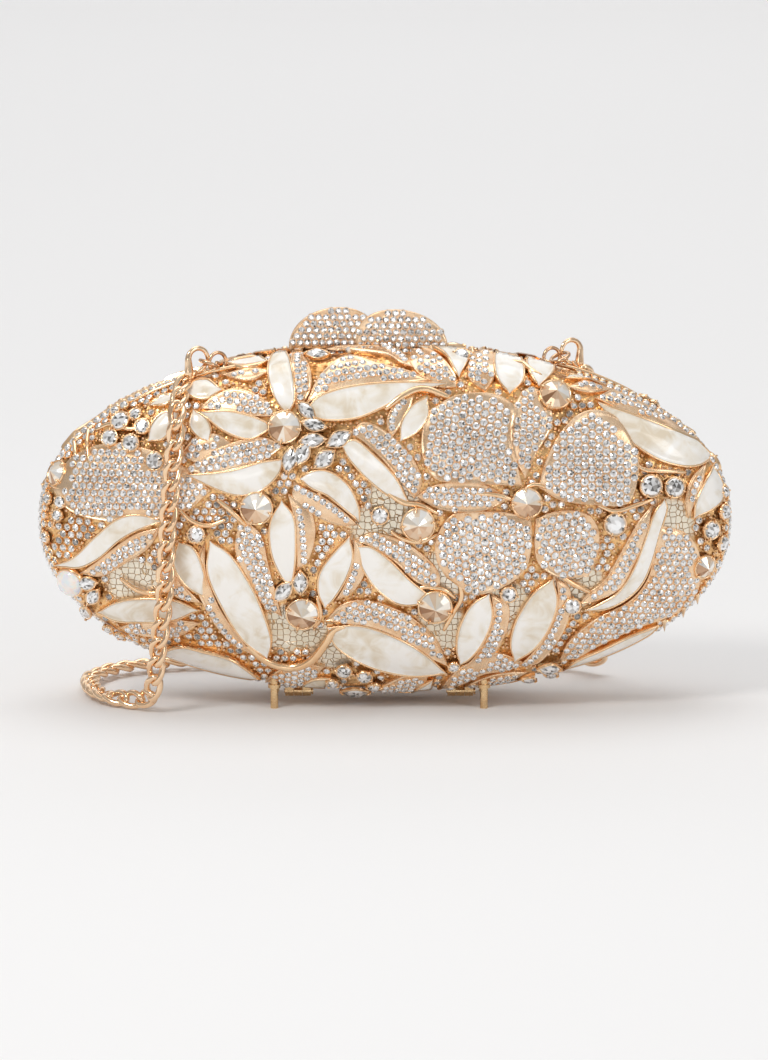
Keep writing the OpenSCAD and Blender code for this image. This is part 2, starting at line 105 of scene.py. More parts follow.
def oval(a, b, t):
    """Points of a superellipse of half sizes a and b at parameters t, as x and z."""
    c, s = np.cos(t), np.sin(t)
    return a * np.sign(c) * np.abs(c) ** (2 / OUTLINE), MID + b * np.sign(s) * np.abs(s) ** (2 / OUTLINE)


def smooth(points, n):
    """n evenly spaced points on a smooth curve through the given ones."""
    p = np.asarray(points, float)
    if len(p) == 2:
        return p[0] + np.linspace(0, 1, n)[:, None] * (p[1] - p[0])
    q = np.vstack([2 * p[0] - p[1], p, 2 * p[-1] - p[-2]])
    t = np.linspace(0, 1, 12, endpoint=False)[:, None]
    out = []
    for i in range(1, len(q) - 2):
        a, b, c, d = q[i - 1], q[i], q[i + 1], q[i + 2]
        out.append(0.5 * (2 * b + (c - a) * t + (2 * a - 5 * b + 4 * c - d) * t ** 2
                          + (3 * b - a - 3 * c + d) * t ** 3))
    out = np.vstack(out + [p[-1:]])
    s = np.concatenate([[0], np.cumsum(np.linalg.norm(np.diff(out, axis=0), axis=1))])
    u = np.linspace(0, s[-1], n)
    return np.stack([np.interp(u, s, out[:, k]) for k in range(out.shape[1])], -1)


# ---------------------------------------------------------------- materials
def material(name):
    m = bpy.data.materials.new(name)
    m.use_nodes = True
    t = m.node_tree
    return m, t, t.nodes["Principled BSDF"]


def add(t, kind, **values):
    n = t.nodes.new(kind)
    for k, v in values.items():
        k = k.replace("_", " ")
        if k in n.inputs:
            n.inputs[k].default_value = v
        else:
            setattr(n, k.replace(" ", "_"), v)
    return n


def coords(t, scale=1.0):
    c = add(t, "ShaderNodeTexCoord")
    m = add(t, "ShaderNodeMapping", Scale=(scale,) * 3)
    t.links.new(c.outputs["Object"], m.inputs["Vector"])
    return m.outputs["Vector"]


def ramp(t, source, stops):
    r = add(t, "ShaderNodeValToRGB")
    e = r.color_ramp.elements
    while len(e) < len(stops):
        e.new(0.5)
    for i, (pos, col) in enumerate(stops):
        e[i].position = pos
        e[i].color = (*col, 1) if len(col) == 3 else col
    t.links.new(source, r.inputs["Fac"])
    return r.outputs["Color"]


def bump(t, b, height, strength, distance):
    n = add(t, "ShaderNodeBump", Strength=strength, Distance=distance)
    t.links.new(height, n.inputs["Height"])
    t.links.new(n.outputs["Normal"], b.inputs["Normal"])
    return n


def gold(name, light, dark, rough, grain=900, depth=0.00004):
    """Plated casting metal: colour drifts a little, and the surface is faintly uneven."""
    m, t, b = material(name)
    v = coords(t)
    n1 = add(t, "ShaderNodeTexNoise", Scale=140.0, Detail=3.0, Roughness=0.6)
    n2 = add(t, "ShaderNodeTexNoise", Scale=float(grain), Detail=2.0)
    for n in (n1, n2):
        t.links.new(v, n.inputs["Vector"])
    t.links.new(ramp(t, n1.outputs["Fac"], [(0.35, dark), (0.62, light)]), b.inputs["Base Color"])
    r = add(t, "ShaderNodeMapRange", To_Min=rough * 0.75, To_Max=rough * 1.35)
    t.links.new(n2.outputs["Fac"], r.inputs["Value"])
    t.links.new(r.outputs["Result"], b.inputs["Roughness"])
    b.inputs["Metallic"].default_value = 1.0
    bump(t, b, n2.outputs["Fac"], 0.35, depth)
    return m


GOLD = gold("rose_gold", (0.98, 0.71, 0.45), (0.93, 0.60, 0.34), 0.20)
PLATE = gold("pave_ground", (0.97, 0.72, 0.49), (0.86, 0.56, 0.33), 0.27, 1400, 0.00008)
CHAIN = gold("chain_gold", (0.99, 0.73, 0.49), (0.94, 0.62, 0.38), 0.13, 500, 0.00001)
PEG = gold("hinge_gold", (0.90, 0.66, 0.38), (0.76, 0.50, 0.26), 0.26)
RING = gold("ring_bronze", (0.80, 0.55, 0.36), (0.62, 0.38, 0.22), 0.18)


def enamel():
    m, t, b = material("pearl_enamel")
    v = coords(t)
    warp = add(t, "ShaderNodeTexNoise", Scale=42.0, Detail=2.0, Distortion=1.2)
    fine = add(t, "ShaderNodeTexNoise", Scale=120.0, Detail=3.0, Distortion=1.6)
    for n in (warp, fine):
        t.links.new(v, n.inputs["Vector"])
    mix = add(t, "ShaderNodeMath", operation="MULTIPLY_ADD")
    t.links.new(fine.outputs["Fac"], mix.inputs[0])
    mix.inputs[1].default_value = 0.4
    half = add(t, "ShaderNodeMath", operation="MULTIPLY")
    t.links.new(warp.outputs["Fac"], half.inputs[0])
    half.inputs[1].default_value = 0.6
    t.links.new(half.outputs[0], mix.inputs[2])
    t.links.new(ramp(t, mix.outputs[0], [(0.38, (0.78, 0.67, 0.51)), (0.47, (0.91, 0.85, 0.75)),
                                         (0.56, (0.98, 0.95, 0.90))]), b.inputs["Base Color"])
    b.inputs["Roughness"].default_value = 0.24
    b.inputs["Coat Weight"].default_value = 0.7
    b.inputs["Coat Roughness"].default_value = 0.06
    b.inputs["Sheen Weight"].default_value = 0.1
    bump(t, b, mix.outputs[0], 0.12, 0.00005)
    return m


def facets(name, tint_and_reflections, rough):
    """Foil-backed crystal, drawn opaque: each facet's light or dark base colour is painted reflection, a
    tone per face read from a face attribute.
    """
    m, t, b = material(name)
    a = add(t, "ShaderNodeAttribute", attribute_name="facet_reflection")
    t.links.new(ramp(t, a.outputs["Fac"], tint_and_reflections), b.inputs["Base Color"])
    b.inputs["Metallic"].default_value = 0.55
    b.inputs["Roughness"].default_value = rough
    b.inputs["Coat Weight"].default_value = 1.0
    b.inputs["Coat Roughness"].default_value = 0.02
    b.inputs["Coat IOR"].default_value = 1.6
    return m


# clear crystal: its dark grey to white facets are all painted reflection
CRYSTAL = facets("crystal", [(0.0, (0.10, 0.095, 0.09)), (0.3, (0.50, 0.48, 0.46)),
                             (0.6, (0.88, 0.87, 0.86)), (1.0, (1.0, 1.0, 1.0))], 0.10)
# champagne crystal: the warm hue is its own, its light and dark facets are painted reflection
CHAMPAGNE = facets("champagne_crystal", [(0.0, (0.36, 0.17, 0.07)), (0.35, (0.84, 0.56, 0.35)),
                                         (0.65, (0.98, 0.84, 0.66)), (1.0, (1.0, 0.98, 0.94))], 0.10)


def skin():
    """Metallic skin embossed with small scales where it is bare; elsewhere rough cast gold, its colour with
    painted shade: dark brown patches by noise.
    """
    m, t, b = material("embossed_skin")
    v = coords(t)
    cell = add(t, "ShaderNodeTexVoronoi", Scale=470.0, feature="DISTANCE_TO_EDGE", Randomness=0.5)
    tone = add(t, "ShaderNodeTexNoise", Scale=90.0, Detail=3.0)
    cast = add(t, "ShaderNodeTexVoronoi", Scale=620.0)
    gold_and_shade_noise = add(t, "ShaderNodeTexNoise", Scale=260.0, Detail=4.0)
    for n in (cell, tone, cast, gold_and_shade_noise):
        t.links.new(v, n.inputs["Vector"])
    line = ramp(t, cell.outputs["Distance"], [(0.0, (0.0,) * 3), (0.06, (1.0,) * 3)])
    base = ramp(t, tone.outputs["Fac"], [(0.3, (0.84, 0.75, 0.58)), (0.7, (0.97, 0.91, 0.78))])
    hide = add(t, "ShaderNodeMix", data_type="RGBA")
    t.links.new(line, hide.inputs["Factor"])
    hide.inputs["A"].default_value = (0.56, 0.37, 0.18, 1)
    t.links.new(base, hide.inputs["B"])
    # painted shade: the cast gold runs from dark brown to gold by noise, the dark standing in for shade in
    # the crevices between leaves and stones
    net = ramp(t, gold_and_shade_noise.outputs["Fac"], [(0.36, (0.34, 0.14, 0.035)), (0.58, (0.96, 0.60, 0.28))])
    bare = add(t, "ShaderNodeAttribute", attribute_name="bare")
    whole = add(t, "ShaderNodeMix", data_type="RGBA")
    t.links.new(bare.outputs["Fac"], whole.inputs["Factor"])
    t.links.new(net, whole.inputs["A"])
    t.links.new(hide.outputs["Result"], whole.inputs["B"])
    t.links.new(whole.outputs["Result"], b.inputs["Base Color"])
    metal = add(t, "ShaderNodeMapRange", To_Min=0.95, To_Max=0.6)
    t.links.new(bare.outputs["Fac"], metal.inputs["Value"])
    t.links.new(metal.outputs["Result"], b.inputs["Metallic"])
    b.inputs["Roughness"].default_value = 0.27
    high = add(t, "ShaderNodeMix", data_type="RGBA")
    t.links.new(bare.outputs["Fac"], high.inputs["Factor"])
    t.links.new(ramp(t, cast.outputs["Distance"], [(0.0, (1.0,) * 3), (0.6, (0.0,) * 3)]), high.inputs["A"])
    t.links.new(line, high.inputs["B"])
    bump(t, b, high.outputs["Result"], 0.8, 0.0003)
    return m


SKIN = skin()


def satin():
    m, t, b = material("lining_satin")
    v = coords(t)
    weave = add(t, "ShaderNodeTexWave", Scale=900.0, Distortion=0.6, Detail=2.0)
    tone = add(t, "ShaderNodeTexNoise", Scale=35.0, Detail=4.0)
    for n in (weave, tone):
        t.links.new(v, n.inputs["Vector"])
    t.links.new(ramp(t, tone.outputs["Fac"], [(0.3, (0.62, 0.47, 0.27)), (0.7, (0.78, 0.63, 0.40))]),
                b.inputs["Base Color"])
    b.inputs["Roughness"].default_value = 0.42
    b.inputs["Sheen Weight"].default_value = 0.6
    b.inputs["Sheen Roughness"].default_value = 0.4
    bump(t, b, weave.outputs["Fac"], 0.25, 0.00008)
    return m


SATIN = satin()
CORD = gold("piping_gold", (0.90, 0.70, 0.42), (0.74, 0.52, 0.28), 0.35, 1500, 0.0001)


def opal():
    m, t, b = material("opal")
    v = coords(t)
    n = add(t, "ShaderNodeTexNoise", Scale=120.0, Detail=3.0, Distortion=1.5)
    t.links.new(v, n.inputs["Vector"])
    t.links.new(ramp(t, n.outputs["Fac"], [(0.35, (0.95, 0.72, 0.60)), (0.5, (0.97, 0.90, 0.84)),
                                           (0.65, (0.80, 0.86, 0.92))]), b.inputs["Base Color"])
    b.inputs["Roughness"].default_value = 0.12
    b.inputs["Coat Weight"].default_value = 0.8
    b.inputs["Subsurface Weight"].default_value = 0.3
    b.inputs["Subsurface Scale"].default_value = 0.002
    return m


OPAL = opal()
STEEL = gold("spring_wire", (0.75, 0.75, 0.77), (0.60, 0.60, 0.62), 0.25)

# ---------------------------------------------------------------- mesh tools


def piece(name, verts, faces, mats, index=None, flat=None, facet_reflection=None, body=None, slot=None):
    """A mesh piece from vertices in millimetres. flat marks the faces that keep sharp edges."""
    me = bpy.data.meshes.new(name)
    me.from_pydata((np.asarray(verts) * MM).tolist(), [], [list(map(int, f)) for f in faces])
    for m in mats:
        me.materials.append(m)
    n = len(me.polygons)
    if index is not None:
        me.polygons.foreach_set("material_index", np.asarray(index, np.int32))
    me.polygons.foreach_set("use_smooth", np.ones(n, bool) if flat is None else ~np.asarray(flat, bool))
    # each face's painted reflection tone goes into a face attribute for the crystal materials
    if facet_reflection is not None:
        a = me.attributes.new("facet_reflection", "FLOAT", "FACE")
        a.data.foreach_set("value", np.asarray(facet_reflection, np.float32))
    me.validate()
    me.update()
    return place(name, me, body)


def place(name, me, body, back=False):
    o = bpy.data.objects.new(name, me)
    bpy.context.scene.collection.objects.link(o)
    if back:
        o.rotation_euler = (0, 0, math.pi)
    if body:
        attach(o, body)
    return o


def both(name, f, slot, *nodes):
    """The same casting on each half: the back's is turned half a turn about Z."""
    f.name = "front_" + name
    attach(f, "front_half")
    b = place("back_" + name, f.data, "back_half", back=True)
    for o, side in ((f, "front_"), (b, "back_")):
        if nodes:
            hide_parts(*(side + n for n in nodes))
    return f, b


class Bag:
    """Collects parts of one piece: vertices, faces, material numbers and each face's painted reflection
    tone.
    """

    def __init__(self):
        self.v, self.f, self.m, self.flat, self.tone, self.n = [], [], [], [], [], 0

    def put(self, v, f, m=0, flat=False, tone=0.5):
        v = np.asarray(v, float).reshape(-1, 3)
        self.v.append(v)
        self.f += [[i + self.n for i in q] for q in f]
        k = len(f)
        self.m += list(m) if np.ndim(m) else [m] * k
        self.flat += list(flat) if np.ndim(flat) else [flat] * k
        self.tone += list(tone) if np.ndim(tone) else [tone] * k
        self.n += len(v)

    def make(self, name, mats, **kw):
        return piece(name, np.vstack(self.v), self.f, mats, self.m, self.flat, self.tone, **kw)


def bands(rings, k, wrap=None):
    """Quads between neighbouring rings of k points each; ring number wrap is the first one again."""
    wrap = wrap or rings
    return [[a * k + j, a * k + (j + 1) % k, (a + 1) % wrap * k + (j + 1) % k, (a + 1) % wrap * k + j]
            for a in range(rings - 1) for j in range(k)]


def tube(points, radius, sides=8, closed=False):
    """Vertices and faces of a round tube through points; radius may vary along it."""
    p = np.asarray(points, float)
    n = len(p)
    r = np.broadcast_to(radius, n)
    if closed:
        t = np.roll(p, -1, 0) - np.roll(p, 1, 0)
    else:
        t = np.gradient(p, axis=0)
    t /= np.linalg.norm(t, axis=1)[:, None] + 1e-12
    u = np.cross(t[0], [0.3, 0.2, 0.9])
    u /= np.linalg.norm(u)
    us = []
    for k in range(n):
        u = u - (u @ t[k]) * t[k]
        u /= np.linalg.norm(u)
        us.append(u)
    us = np.array(us)
    w = np.cross(t, us)
    if closed:                                 # spread the leftover turn along the loop
        e = us[-1] - (us[-1] @ t[0]) * t[0]
        a = math.atan2(e @ w[0], e @ us[0])
        ang = -a * np.arange(n) / n
        us, w = (np.cos(ang)[:, None] * us + np.sin(ang)[:, None] * w,
                 -np.sin(ang)[:, None] * us + np.cos(ang)[:, None] * w)
    s = 2 * np.pi * np.arange(sides) / sides
    c, s = np.cos(s)[None, :, None], np.sin(s)[None, :, None]
    v = p[:, None] + r[:, None, None] * (c * us[:, None] + s * w[:, None])
    f = bands(n + closed, sides, n)
    if not closed:
        f.append(list(range(sides))[::-1])
        f.append([(n - 1) * sides + k for k in range(sides)])
    return v.reshape(-1, 3), f


def basis(n, turn=0.0):
    """Two directions across n, the first turned from level by turn."""
    n = np.asarray(n, float)
    u = np.cross([0, 0, 1.0], n)
    if np.linalg.norm(u) < 1e-3:
        u = np.array([1.0, 0, 0])
    u /= np.linalg.norm(u)
    w = np.cross(n, u)
    return math.cos(turn) * u + math.sin(turn) * w, -math.sin(turn) * u + math.cos(turn) * w


# ---------------------------------------------------------------- stones
def ring(n, r, h, turn=0.0, wide=1.0):
    a = 2 * np.pi * (np.arange(n) + turn) / n
    return np.stack([r * np.cos(a), r * wide * np.sin(a), np.full(n, h)], -1)


def cut(rings, top):
    """A faceted stone from its tip or table's middle out through rings of equal or doubled count."""
    v = [[[0, 0, top]]] + rings
    start = np.cumsum([0] + [len(x) for x in v])
    f = []
    n = len(rings[0])
    f += [[0, 1 + k, 1 + (k + 1) % n] for k in range(n)]
    for i in range(len(rings) - 1):
        a, b = start[i + 1], start[i + 2]
        na, nb = len(rings[i]), len(rings[i + 1])
        if nb == 2 * na:
            for k in range(na):
                o = [b + (2 * k - 1) % nb, b + 2 * k, b + (2 * k + 1) % nb]
                f += [[a + k, o[0], o[1]], [a + k, o[1], o[2]], [a + k, o[2], a + (k + 1) % na]]
        else:
            for k in range(na):
                q = (k + 1) % na
                f += [[a + k, b + k, b + q, a + q]]
    return np.vstack(v), f


def template(kind):
    """A stone of radius 1 with +Z outward, and its setting."""
    if kind == "small":
        v, f = cut([ring(6, 0.52, 0.46), ring(12, 1.0, 0.12)], 0.46)
    elif kind == "round":
        v, f = cut([ring(8, 0.5, 0.42), ring(16, 0.82, 0.22), ring(16, 1.0, 0.0)], 0.42)
    elif kind == "rivoli":
        v, f = cut([ring(12, 0.55, 0.29), ring(12, 0.98, 0.02)], 0.58)
    else:
        v, f = cut([ring(8, 0.5, 0.36), ring(16, 0.82, 0.2), ring(16, 1.0, 0.0)], 0.40)
    return v, f


STONES = {k: template(k) for k in ("small", "round", "rivoli", "navette")}


# Painted reflection tones for n facets: each face gets a light or dark value at random, standing in for what
# it mirrors
def facet_reflection_tones(n):
    t = RNG.choice([0.05, 0.3, 0.55, 0.8, 1.0], n, p=[0.15, 0.17, 0.19, 0.22, 0.27])
    return np.clip(t + RNG.normal(0, 0.05, n), 0, 1)


def pointed(v):
    """Draws the ends of an oval of radius 1 out to points, in place."""
    v[:, 0] *= 1 + 0.28 * np.abs(v[:, 0]) ** 3
    v[:, 1] *= 1 - 0.55 * np.abs(v[:, 0] / 1.28) ** 3


def set_stone(bag, kind, c, n, r, turn=0.0, wide=1.0, lift=0.0, prongs=0, reflection_level=1.0):
    """Puts one stone at c facing n, with a cup round it and prongs over its edge; the last argument scales
    its facets' painted reflection tones, so that below 1 they are painted darker.
    """
    u, w = basis(n, turn)
    v, f = STONES[kind]
    v = v.copy()
    v[:, 1] *= wide
    if kind == "navette":
        pointed(v)
    m = np.stack([u, w, n])
    c = np.asarray(c) + lift * np.asarray(n)
    tone = facet_reflection_tones(len(f)) * reflection_level
    if kind == "rivoli":                        # painted reflection: light and dark facets run from the point to the edge, lighter on one side as if lit from there
        a = 2 * np.pi * (np.arange(12) + 0.5) / 12
        side = 0.55 + 0.33 * np.cos(a - 0.6) + 0.2 * np.cos(3 * a + turn) + RNG.normal(0, 0.16, 12)
        tone = np.clip(np.concatenate([side, side + RNG.normal(0, 0.12, 12)]), 0, 1)
    bag.put(c + r * v @ m, f, 0, True, tone)
    k = 8 if kind == "small" else 20
    out = ring(k, 1.0, 0.0, 0.5, wide)
    if kind == "navette":
        pointed(out)
    wall = 0.22 / r if kind == "small" else 0.42 / r
    lip = 0.13 if kind == "small" else 0.09
    prof = [(1.0 + wall, -1.0 / r), (1.0 + wall, 0.02), (1.0 + wall * 0.4, lip), (0.97, 0.02)]
    cv = np.vstack([out * [s, s, 1] + [0, 0, h] for s, h in prof])
    bag.put(c + r * cv @ m, bands(len(prof), k), 1)
    for j in range(prongs):
        a = 2 * math.pi * (j + 0.5) / prongs
        e = np.array([math.cos(a), wide * math.sin(a), 0.0])
        if kind == "navette":
            e = np.array([1.22 * (1 if j == 0 else -1), 0, 0]) if prongs == 2 else e
        pts = np.array([e * (1 + wall * 1.3) + [0, 0, -0.5], e * (1 + wall * 1.2) + [0, 0, 0.06],
                        e * 0.97 + [0, 0, 0.2], e * 0.82 + [0, 0, 0.2]])
        tv, tf = tube(c + r * pts @ m, np.array([0.42, 0.4, 0.36, 0.2]) * (0.8 + 0.06 * r), 6)
        bag.put(tv, tf, 1)


# ---------------------------------------------------------------- ornament layout
# kind, base, tip, points up one edge, points up the other, height of the two edges above the shell
# E is enamelled with a gold edge, P is set with small stones in rows, H with stones in a close pattern
ORNAMENT = [
    # star flower
    ("P", (-27, 107), (16, 115), [(-22, 117), (-13, 123.5), (-3, 121), (8, 118.5)],
     [(-22, 109.5), (-12, 112), (5, 113.5)], 2.2, 2.9),
    ("E", (-27, 104), (21, 114), [(-23, 109.5), (-12, 113), (5, 114.5)],
     [(-20, 101.5), (-10, 102), (-2, 105), (8, 110)], 3.6, 2.6),
    ("P", (-30, 105), (-31.5, 126.5), [(-31.5, 112), (-32, 120)],
     [(-25.5, 111), (-25, 118), (-28, 124)], 2.6, 2.0),
    ("E", (-33, 103), (-36, 127.5), [(-37.5, 109), (-40, 117), (-39, 123)],
     [(-30, 109), (-31, 118), (-33, 124)], 2.6, 3.2),
    ("P", (-37, 103), (-63, 105.5), [(-41, 109), (-50, 112.5), (-58, 110)],
     [(-44, 103), (-52, 104.5)], 2.0, 2.8),
    ("E", (-37, 100), (-63, 104.5), [(-44, 103), (-53, 105)], [(-42, 96.5), (-47, 95), (-55, 98)], 3.4, 2.6),
    ("P", (-34, 93), (-68, 85), [(-40, 96), (-48, 95.5), (-59, 91)],
     [(-42, 87.5), (-52, 84.5), (-60, 83.5)], 2.2, 2.8),
    ("E", (-34, 89), (-68, 83.5), [(-42, 88), (-53, 85)], [(-36, 83), (-42, 77.5), (-50, 76),
     (-59, 79)], 3.2, 2.6),
    ("P", (-31, 81), (-9, 66), [(-26, 78.5), (-20, 75.5), (-14, 71)],
     [(-31, 75), (-24, 69.5), (-16, 66)], 2.8, 2.0),
    ("E", (-29, 82), (-8.5, 67), [(-25, 84.8), (-19, 85), (-12.5, 80.5), (-8.7, 73)],
     [(-25, 78.5), (-19.5, 76), (-14, 71.5)], 2.6, 3.4),
    ("P", (-12, 97), (10, 75), [(-7, 101.5), (2, 97), (9.5, 89), (12.5, 81)],
     [(-8, 95), (-2, 89.5), (4, 82.5)], 2.0, 2.8),
    ("E", (-15, 93.5), (8.5, 73.5), [(-10, 95.5), (-3, 90), (4, 82.5)],
     [(-12, 88), (-6, 81.5), (1, 76)], 3.4, 2.6),
    # rose
    ("P", (42, 75), (10.5, 76), [(34, 80), (24, 81), (16, 79.5)],
     [(34, 71), (24, 70.5), (16, 72.5)], 1.6, 1.6),
    ("P", (47.5, 82), (50, 113.5), [(42.5, 92), (42.5, 103), (46, 111)],
     [(51, 90), (56.5, 100), (55.5, 109)], 1.6, 1.6),
    ("H", (46.5, 79.5), (15, 105), [(44.5, 88), (42.5, 97), (44, 106), (36, 110.5), (24, 110)],
     [(36, 80), (26, 80.5), (17, 82), (12.5, 90), (12.5, 98)], 3.2, 2.8),
    ("H", (52, 79), (82.5, 97), [(53.5, 86), (57, 94), (63, 102), (70, 105), (77.5, 103)],
     [(60, 74.5), (72, 73), (82, 73.5), (85.5, 82), (85.5, 90)], 3.0, 2.8),
    ("H", (49.5, 69), (21, 48), [(40, 70.8), (30, 70.8), (22, 69.5), (17.3, 62), (17.5, 54)],
     [(49.8, 60), (47.5, 51), (40, 45), (30, 42.5)], 3.0, 2.8),
    ("H", (51, 68.5), (69, 48.5), [(58, 71), (66, 71), (71.5, 67), (72.5, 58)],
     [(50.5, 60), (52, 53), (59, 48.5)], 2.8, 3.0),
    # upper leaves
    ("P", (-39, 118.5), (-55.5, 117), [(-46, 119.8)], [(-46, 115.2)], 1.6, 1.6),
    ("E", (-39.5, 121.5), (-55.5, 121.5), [(-44, 125), (-50, 125)], [(-44, 119.5), (-50, 119)], 2.0, 2.4),
    ("E", (-55, 112), (-69, 111.5), [(-60, 115.5), (-65, 115)], [(-60, 108.7), (-65, 109)], 2.4, 2.2),
    ("E", (-65, 105.5), (-59.5, 94.5), [(-66.5, 100), (-63.5, 96)], [(-60.5, 103), (-58.5, 99)], 2.4, 2.4),
    ("P", (-51, 93.5), (-69, 91), [(-57, 97.3), (-64, 96.5)], [(-57, 88.5), (-64, 87.3)], 1.6, 1.6),
    ("E", (-80.5, 94.5), (-69.5, 105), [(-79.5, 100), (-75.5, 104.5)], [(-75, 95), (-70.8, 100)], 2.2, 2.4),
    ("E", (-80, 106.5), (-70, 110.5), [(-76, 110.5)], [(-74, 106.8)], 1.8, 1.8),
    ("P", (-20, 127.5), (10, 119.5), [(-10, 129.8), (0, 128), (6, 124.8)],
     [(-10, 125.2), (0, 123.6), (5, 121)], 1.8, 2.2),
    ("P", (9, 126), (24, 113), [(15, 126), (20, 122), (24, 117)],
     [(8.5, 121), (13, 116), (18.5, 113)], 2.2, 1.8),
    ("E", (10.5, 129.5), (25, 116), [(19, 131), (26.5, 128.5), (29, 123.5)],
     [(15, 126.5), (20, 123), (23.3, 118)], 2.4, 3.0),
    ("P", (34, 111.5), (37, 127.5), [(28.3, 116), (28.8, 122.5), (33, 127)],
     [(37, 116), (37.5, 122)], 1.8, 2.4),
    ("E", (42, 110.5), (39.5, 129.5), [(37.3, 116), (36.8, 123)],
     [(47, 115), (47, 121.5), (43.8, 127.5)], 3.0, 2.4),
    ("E", (52, 113), (51.5, 128.5), [(48.3, 118), (48, 124)], [(57.3, 118), (57.5, 123.5),
     (55, 127.8)], 2.4, 2.0),
    ("P", (62, 113), (80, 112.5), [(70, 116)], [(70, 111)], 1.6, 1.6),
    ("E", (61, 115.5), (79.5, 116.5), [(66, 120.3), (72, 122.8), (77, 121)],
     [(68, 115.3), (74.5, 115)], 2.2, 2.4),
    ("P", (10, 111), (2, 95.5), [(4, 108.5), (0.5, 102)], [(8.5, 105), (5, 99.5)], 1.6, 2.2),
    ("E", (14.5, 110), (5, 94.5), [(9, 107), (5.2, 101)], [(15, 103), (11, 97.5)], 2.8, 2.4),
    # right
    ("P", (71, 109), (109, 94.5), [(78, 112.5), (85, 112), (95, 108.5), (103.5, 101.5)],
     [(80, 104.5), (90, 100), (100, 96)], 1.8, 2.8),
    ("E", (72, 107.5), (111.5, 90.5), [(80, 104.8), (90, 101), (100, 96.8), (107, 94)],
     [(79.5, 97), (88, 90.5), (95, 87), (103, 85.5), (109, 87)], 3.4, 2.4),
    ("P", (108.5, 87), (103, 68.5), [(103.8, 82), (101.8, 75)], [(107.5, 80), (105, 74)], 1.6, 2.2),
    ("E", (111, 86.5), (104.5, 68), [(107.3, 80), (104.8, 74)], [(115.5, 80), (113.3, 73)], 2.6, 2.0),
    ("P", (93, 66), (59.5, 20), [(91.5, 58), (89, 48), (83, 40.5), (72, 34.5), (63, 27)],
     [(103, 63), (107.5, 54), (106, 43), (98, 35.5), (85, 30.5), (72, 24), (65, 20)], 2.4, 1.6),
    ("P", (90.5, 73), (66, 39), [(85, 66), (79.5, 56), (74.5, 47.5), (69, 43)],
     [(88.8, 63.5), (84.5, 53), (79.5, 44.5), (72, 40.5)], 2.0, 2.8),
    ("E", (94.5, 75), (67, 37), [(91, 71), (88, 62.5), (84, 52), (79, 44), (72.5, 39.7)],
     [(96, 72), (93.5, 63.5), (90.5, 53), (87, 45.5), (81, 40), (74, 37)], 3.2, 2.8),
    ("E", (93, 32), (58.5, 14), [(84, 28.8), (74, 24), (65, 19.8)],
     [(90, 27), (80, 20), (70, 16)], 2.2, 1.8),
    # left
    ("P", (-59, 78), (-113, 79), [(-68, 86), (-80, 92), (-94, 94), (-106, 89)],
     [(-68, 70.5), (-82, 67.5), (-95, 67.5), (-107, 71)], 1.8, 2.2),
    ("P", (-76, 65.5), (-104, 49.5), [(-84, 63.5), (-90, 60), (-97, 54.5)],
     [(-80, 58.5), (-88, 53), (-96.5, 48.5)], 2.6, 1.8),
    ("E", (-75, 67.5), (-112, 52.5), [(-82, 70), (-90, 69), (-98, 62.8), (-105, 56)],
     [(-84, 64), (-90, 60.5), (-97, 54.5), (-104, 51.5)], 2.6, 3.0),
    ("P", (-63, 32.5), (-91, 31), [(-72, 34), (-82, 34)], [(-70, 28), (-82, 28)], 2.0, 1.6),
    ("E", (-63, 37), (-98, 36.5), [(-72, 41), (-84, 41.5), (-92, 40)],
     [(-72, 33.3), (-84, 32.8), (-92, 33.5)], 2.6, 2.4),
    ("P", (-72.5, 57), (-62, 39), [(-76.5, 50), (-71.5, 41.5)], [(-71.5, 52), (-67.5, 45)], 1.6, 2.2),
    ("E", (-70, 60.5), (-60, 40.5), [(-72, 53), (-68, 45.5)], [(-64.5, 58.5), (-61, 50)], 2.6, 2.6),
    ("E", (-42.5, 13.5), (-78, 22.5), [(-52, 20.5), (-62, 23.5), (-70, 25)],
     [(-54, 12), (-64, 13.5), (-72, 17.5)], 2.6, 2.0),
    # centre and lower
    ("P", (-33, 77), (-30, 50), [(-31, 68), (-30, 58)], [(-26, 73), (-23.5, 64.5), (-25.5, 55)], 2.4, 1.8),
    ("P", (-49, 69), (-35, 34.5), [(-51, 58), (-47, 47), (-41.5, 38.5)],
     [(-42, 63), (-39.5, 53), (-37, 43)], 1.6, 2.4),
    ("E", (-35, 75), (-32, 44.5), [(-39.3, 67), (-39, 57), (-35.8, 49)],
     [(-30.5, 69), (-29.8, 59), (-30.5, 50)], 2.8, 3.2),
    ("P", (-10.5, 61.5), (-17, 40), [(-11, 54), (-13.5, 46.5)],
     [(-5.5, 57.5), (-6.5, 50), (-11, 43)], 2.4, 1.8),
    ("E", (-12, 62.5), (-20.5, 37.5), [(-17.5, 57), (-22.5, 50), (-23, 43)],
     [(-10.5, 55.5), (-12.8, 48), (-17, 41)], 2.6, 3.0),
    ("P", (-61, 61), (-44, 21), [(-65.5, 50.5), (-61.5, 38), (-53.5, 26.5)],
     [(-60.5, 50), (-56, 38), (-49, 27.5)], 1.8, 2.6),
    ("E", (-59.5, 61), (-40, 20.5), [(-60.5, 50), (-55.5, 38), (-48.5, 27)],
     [(-52, 56), (-44.5, 44.5), (-39.8, 33), (-38.3, 26)], 3.2, 2.8),
    ("P", (-20, 33.5), (21.5, 18), [(-15.5, 38.5), (-9, 40.5), (0, 39), (10, 34), (17.5, 26.5)],
     [(-10, 32), (0, 29.5), (9, 25), (16, 20.5)], 2.0, 2.8),
    ("E", (-20, 31.5), (21.5, 15.5), [(-8, 32.3), (4, 28.3), (14, 22.5)],
     [(-16.5, 24), (-6, 17.8), (6, 14.8), (14, 14.5)], 3.2, 2.6),
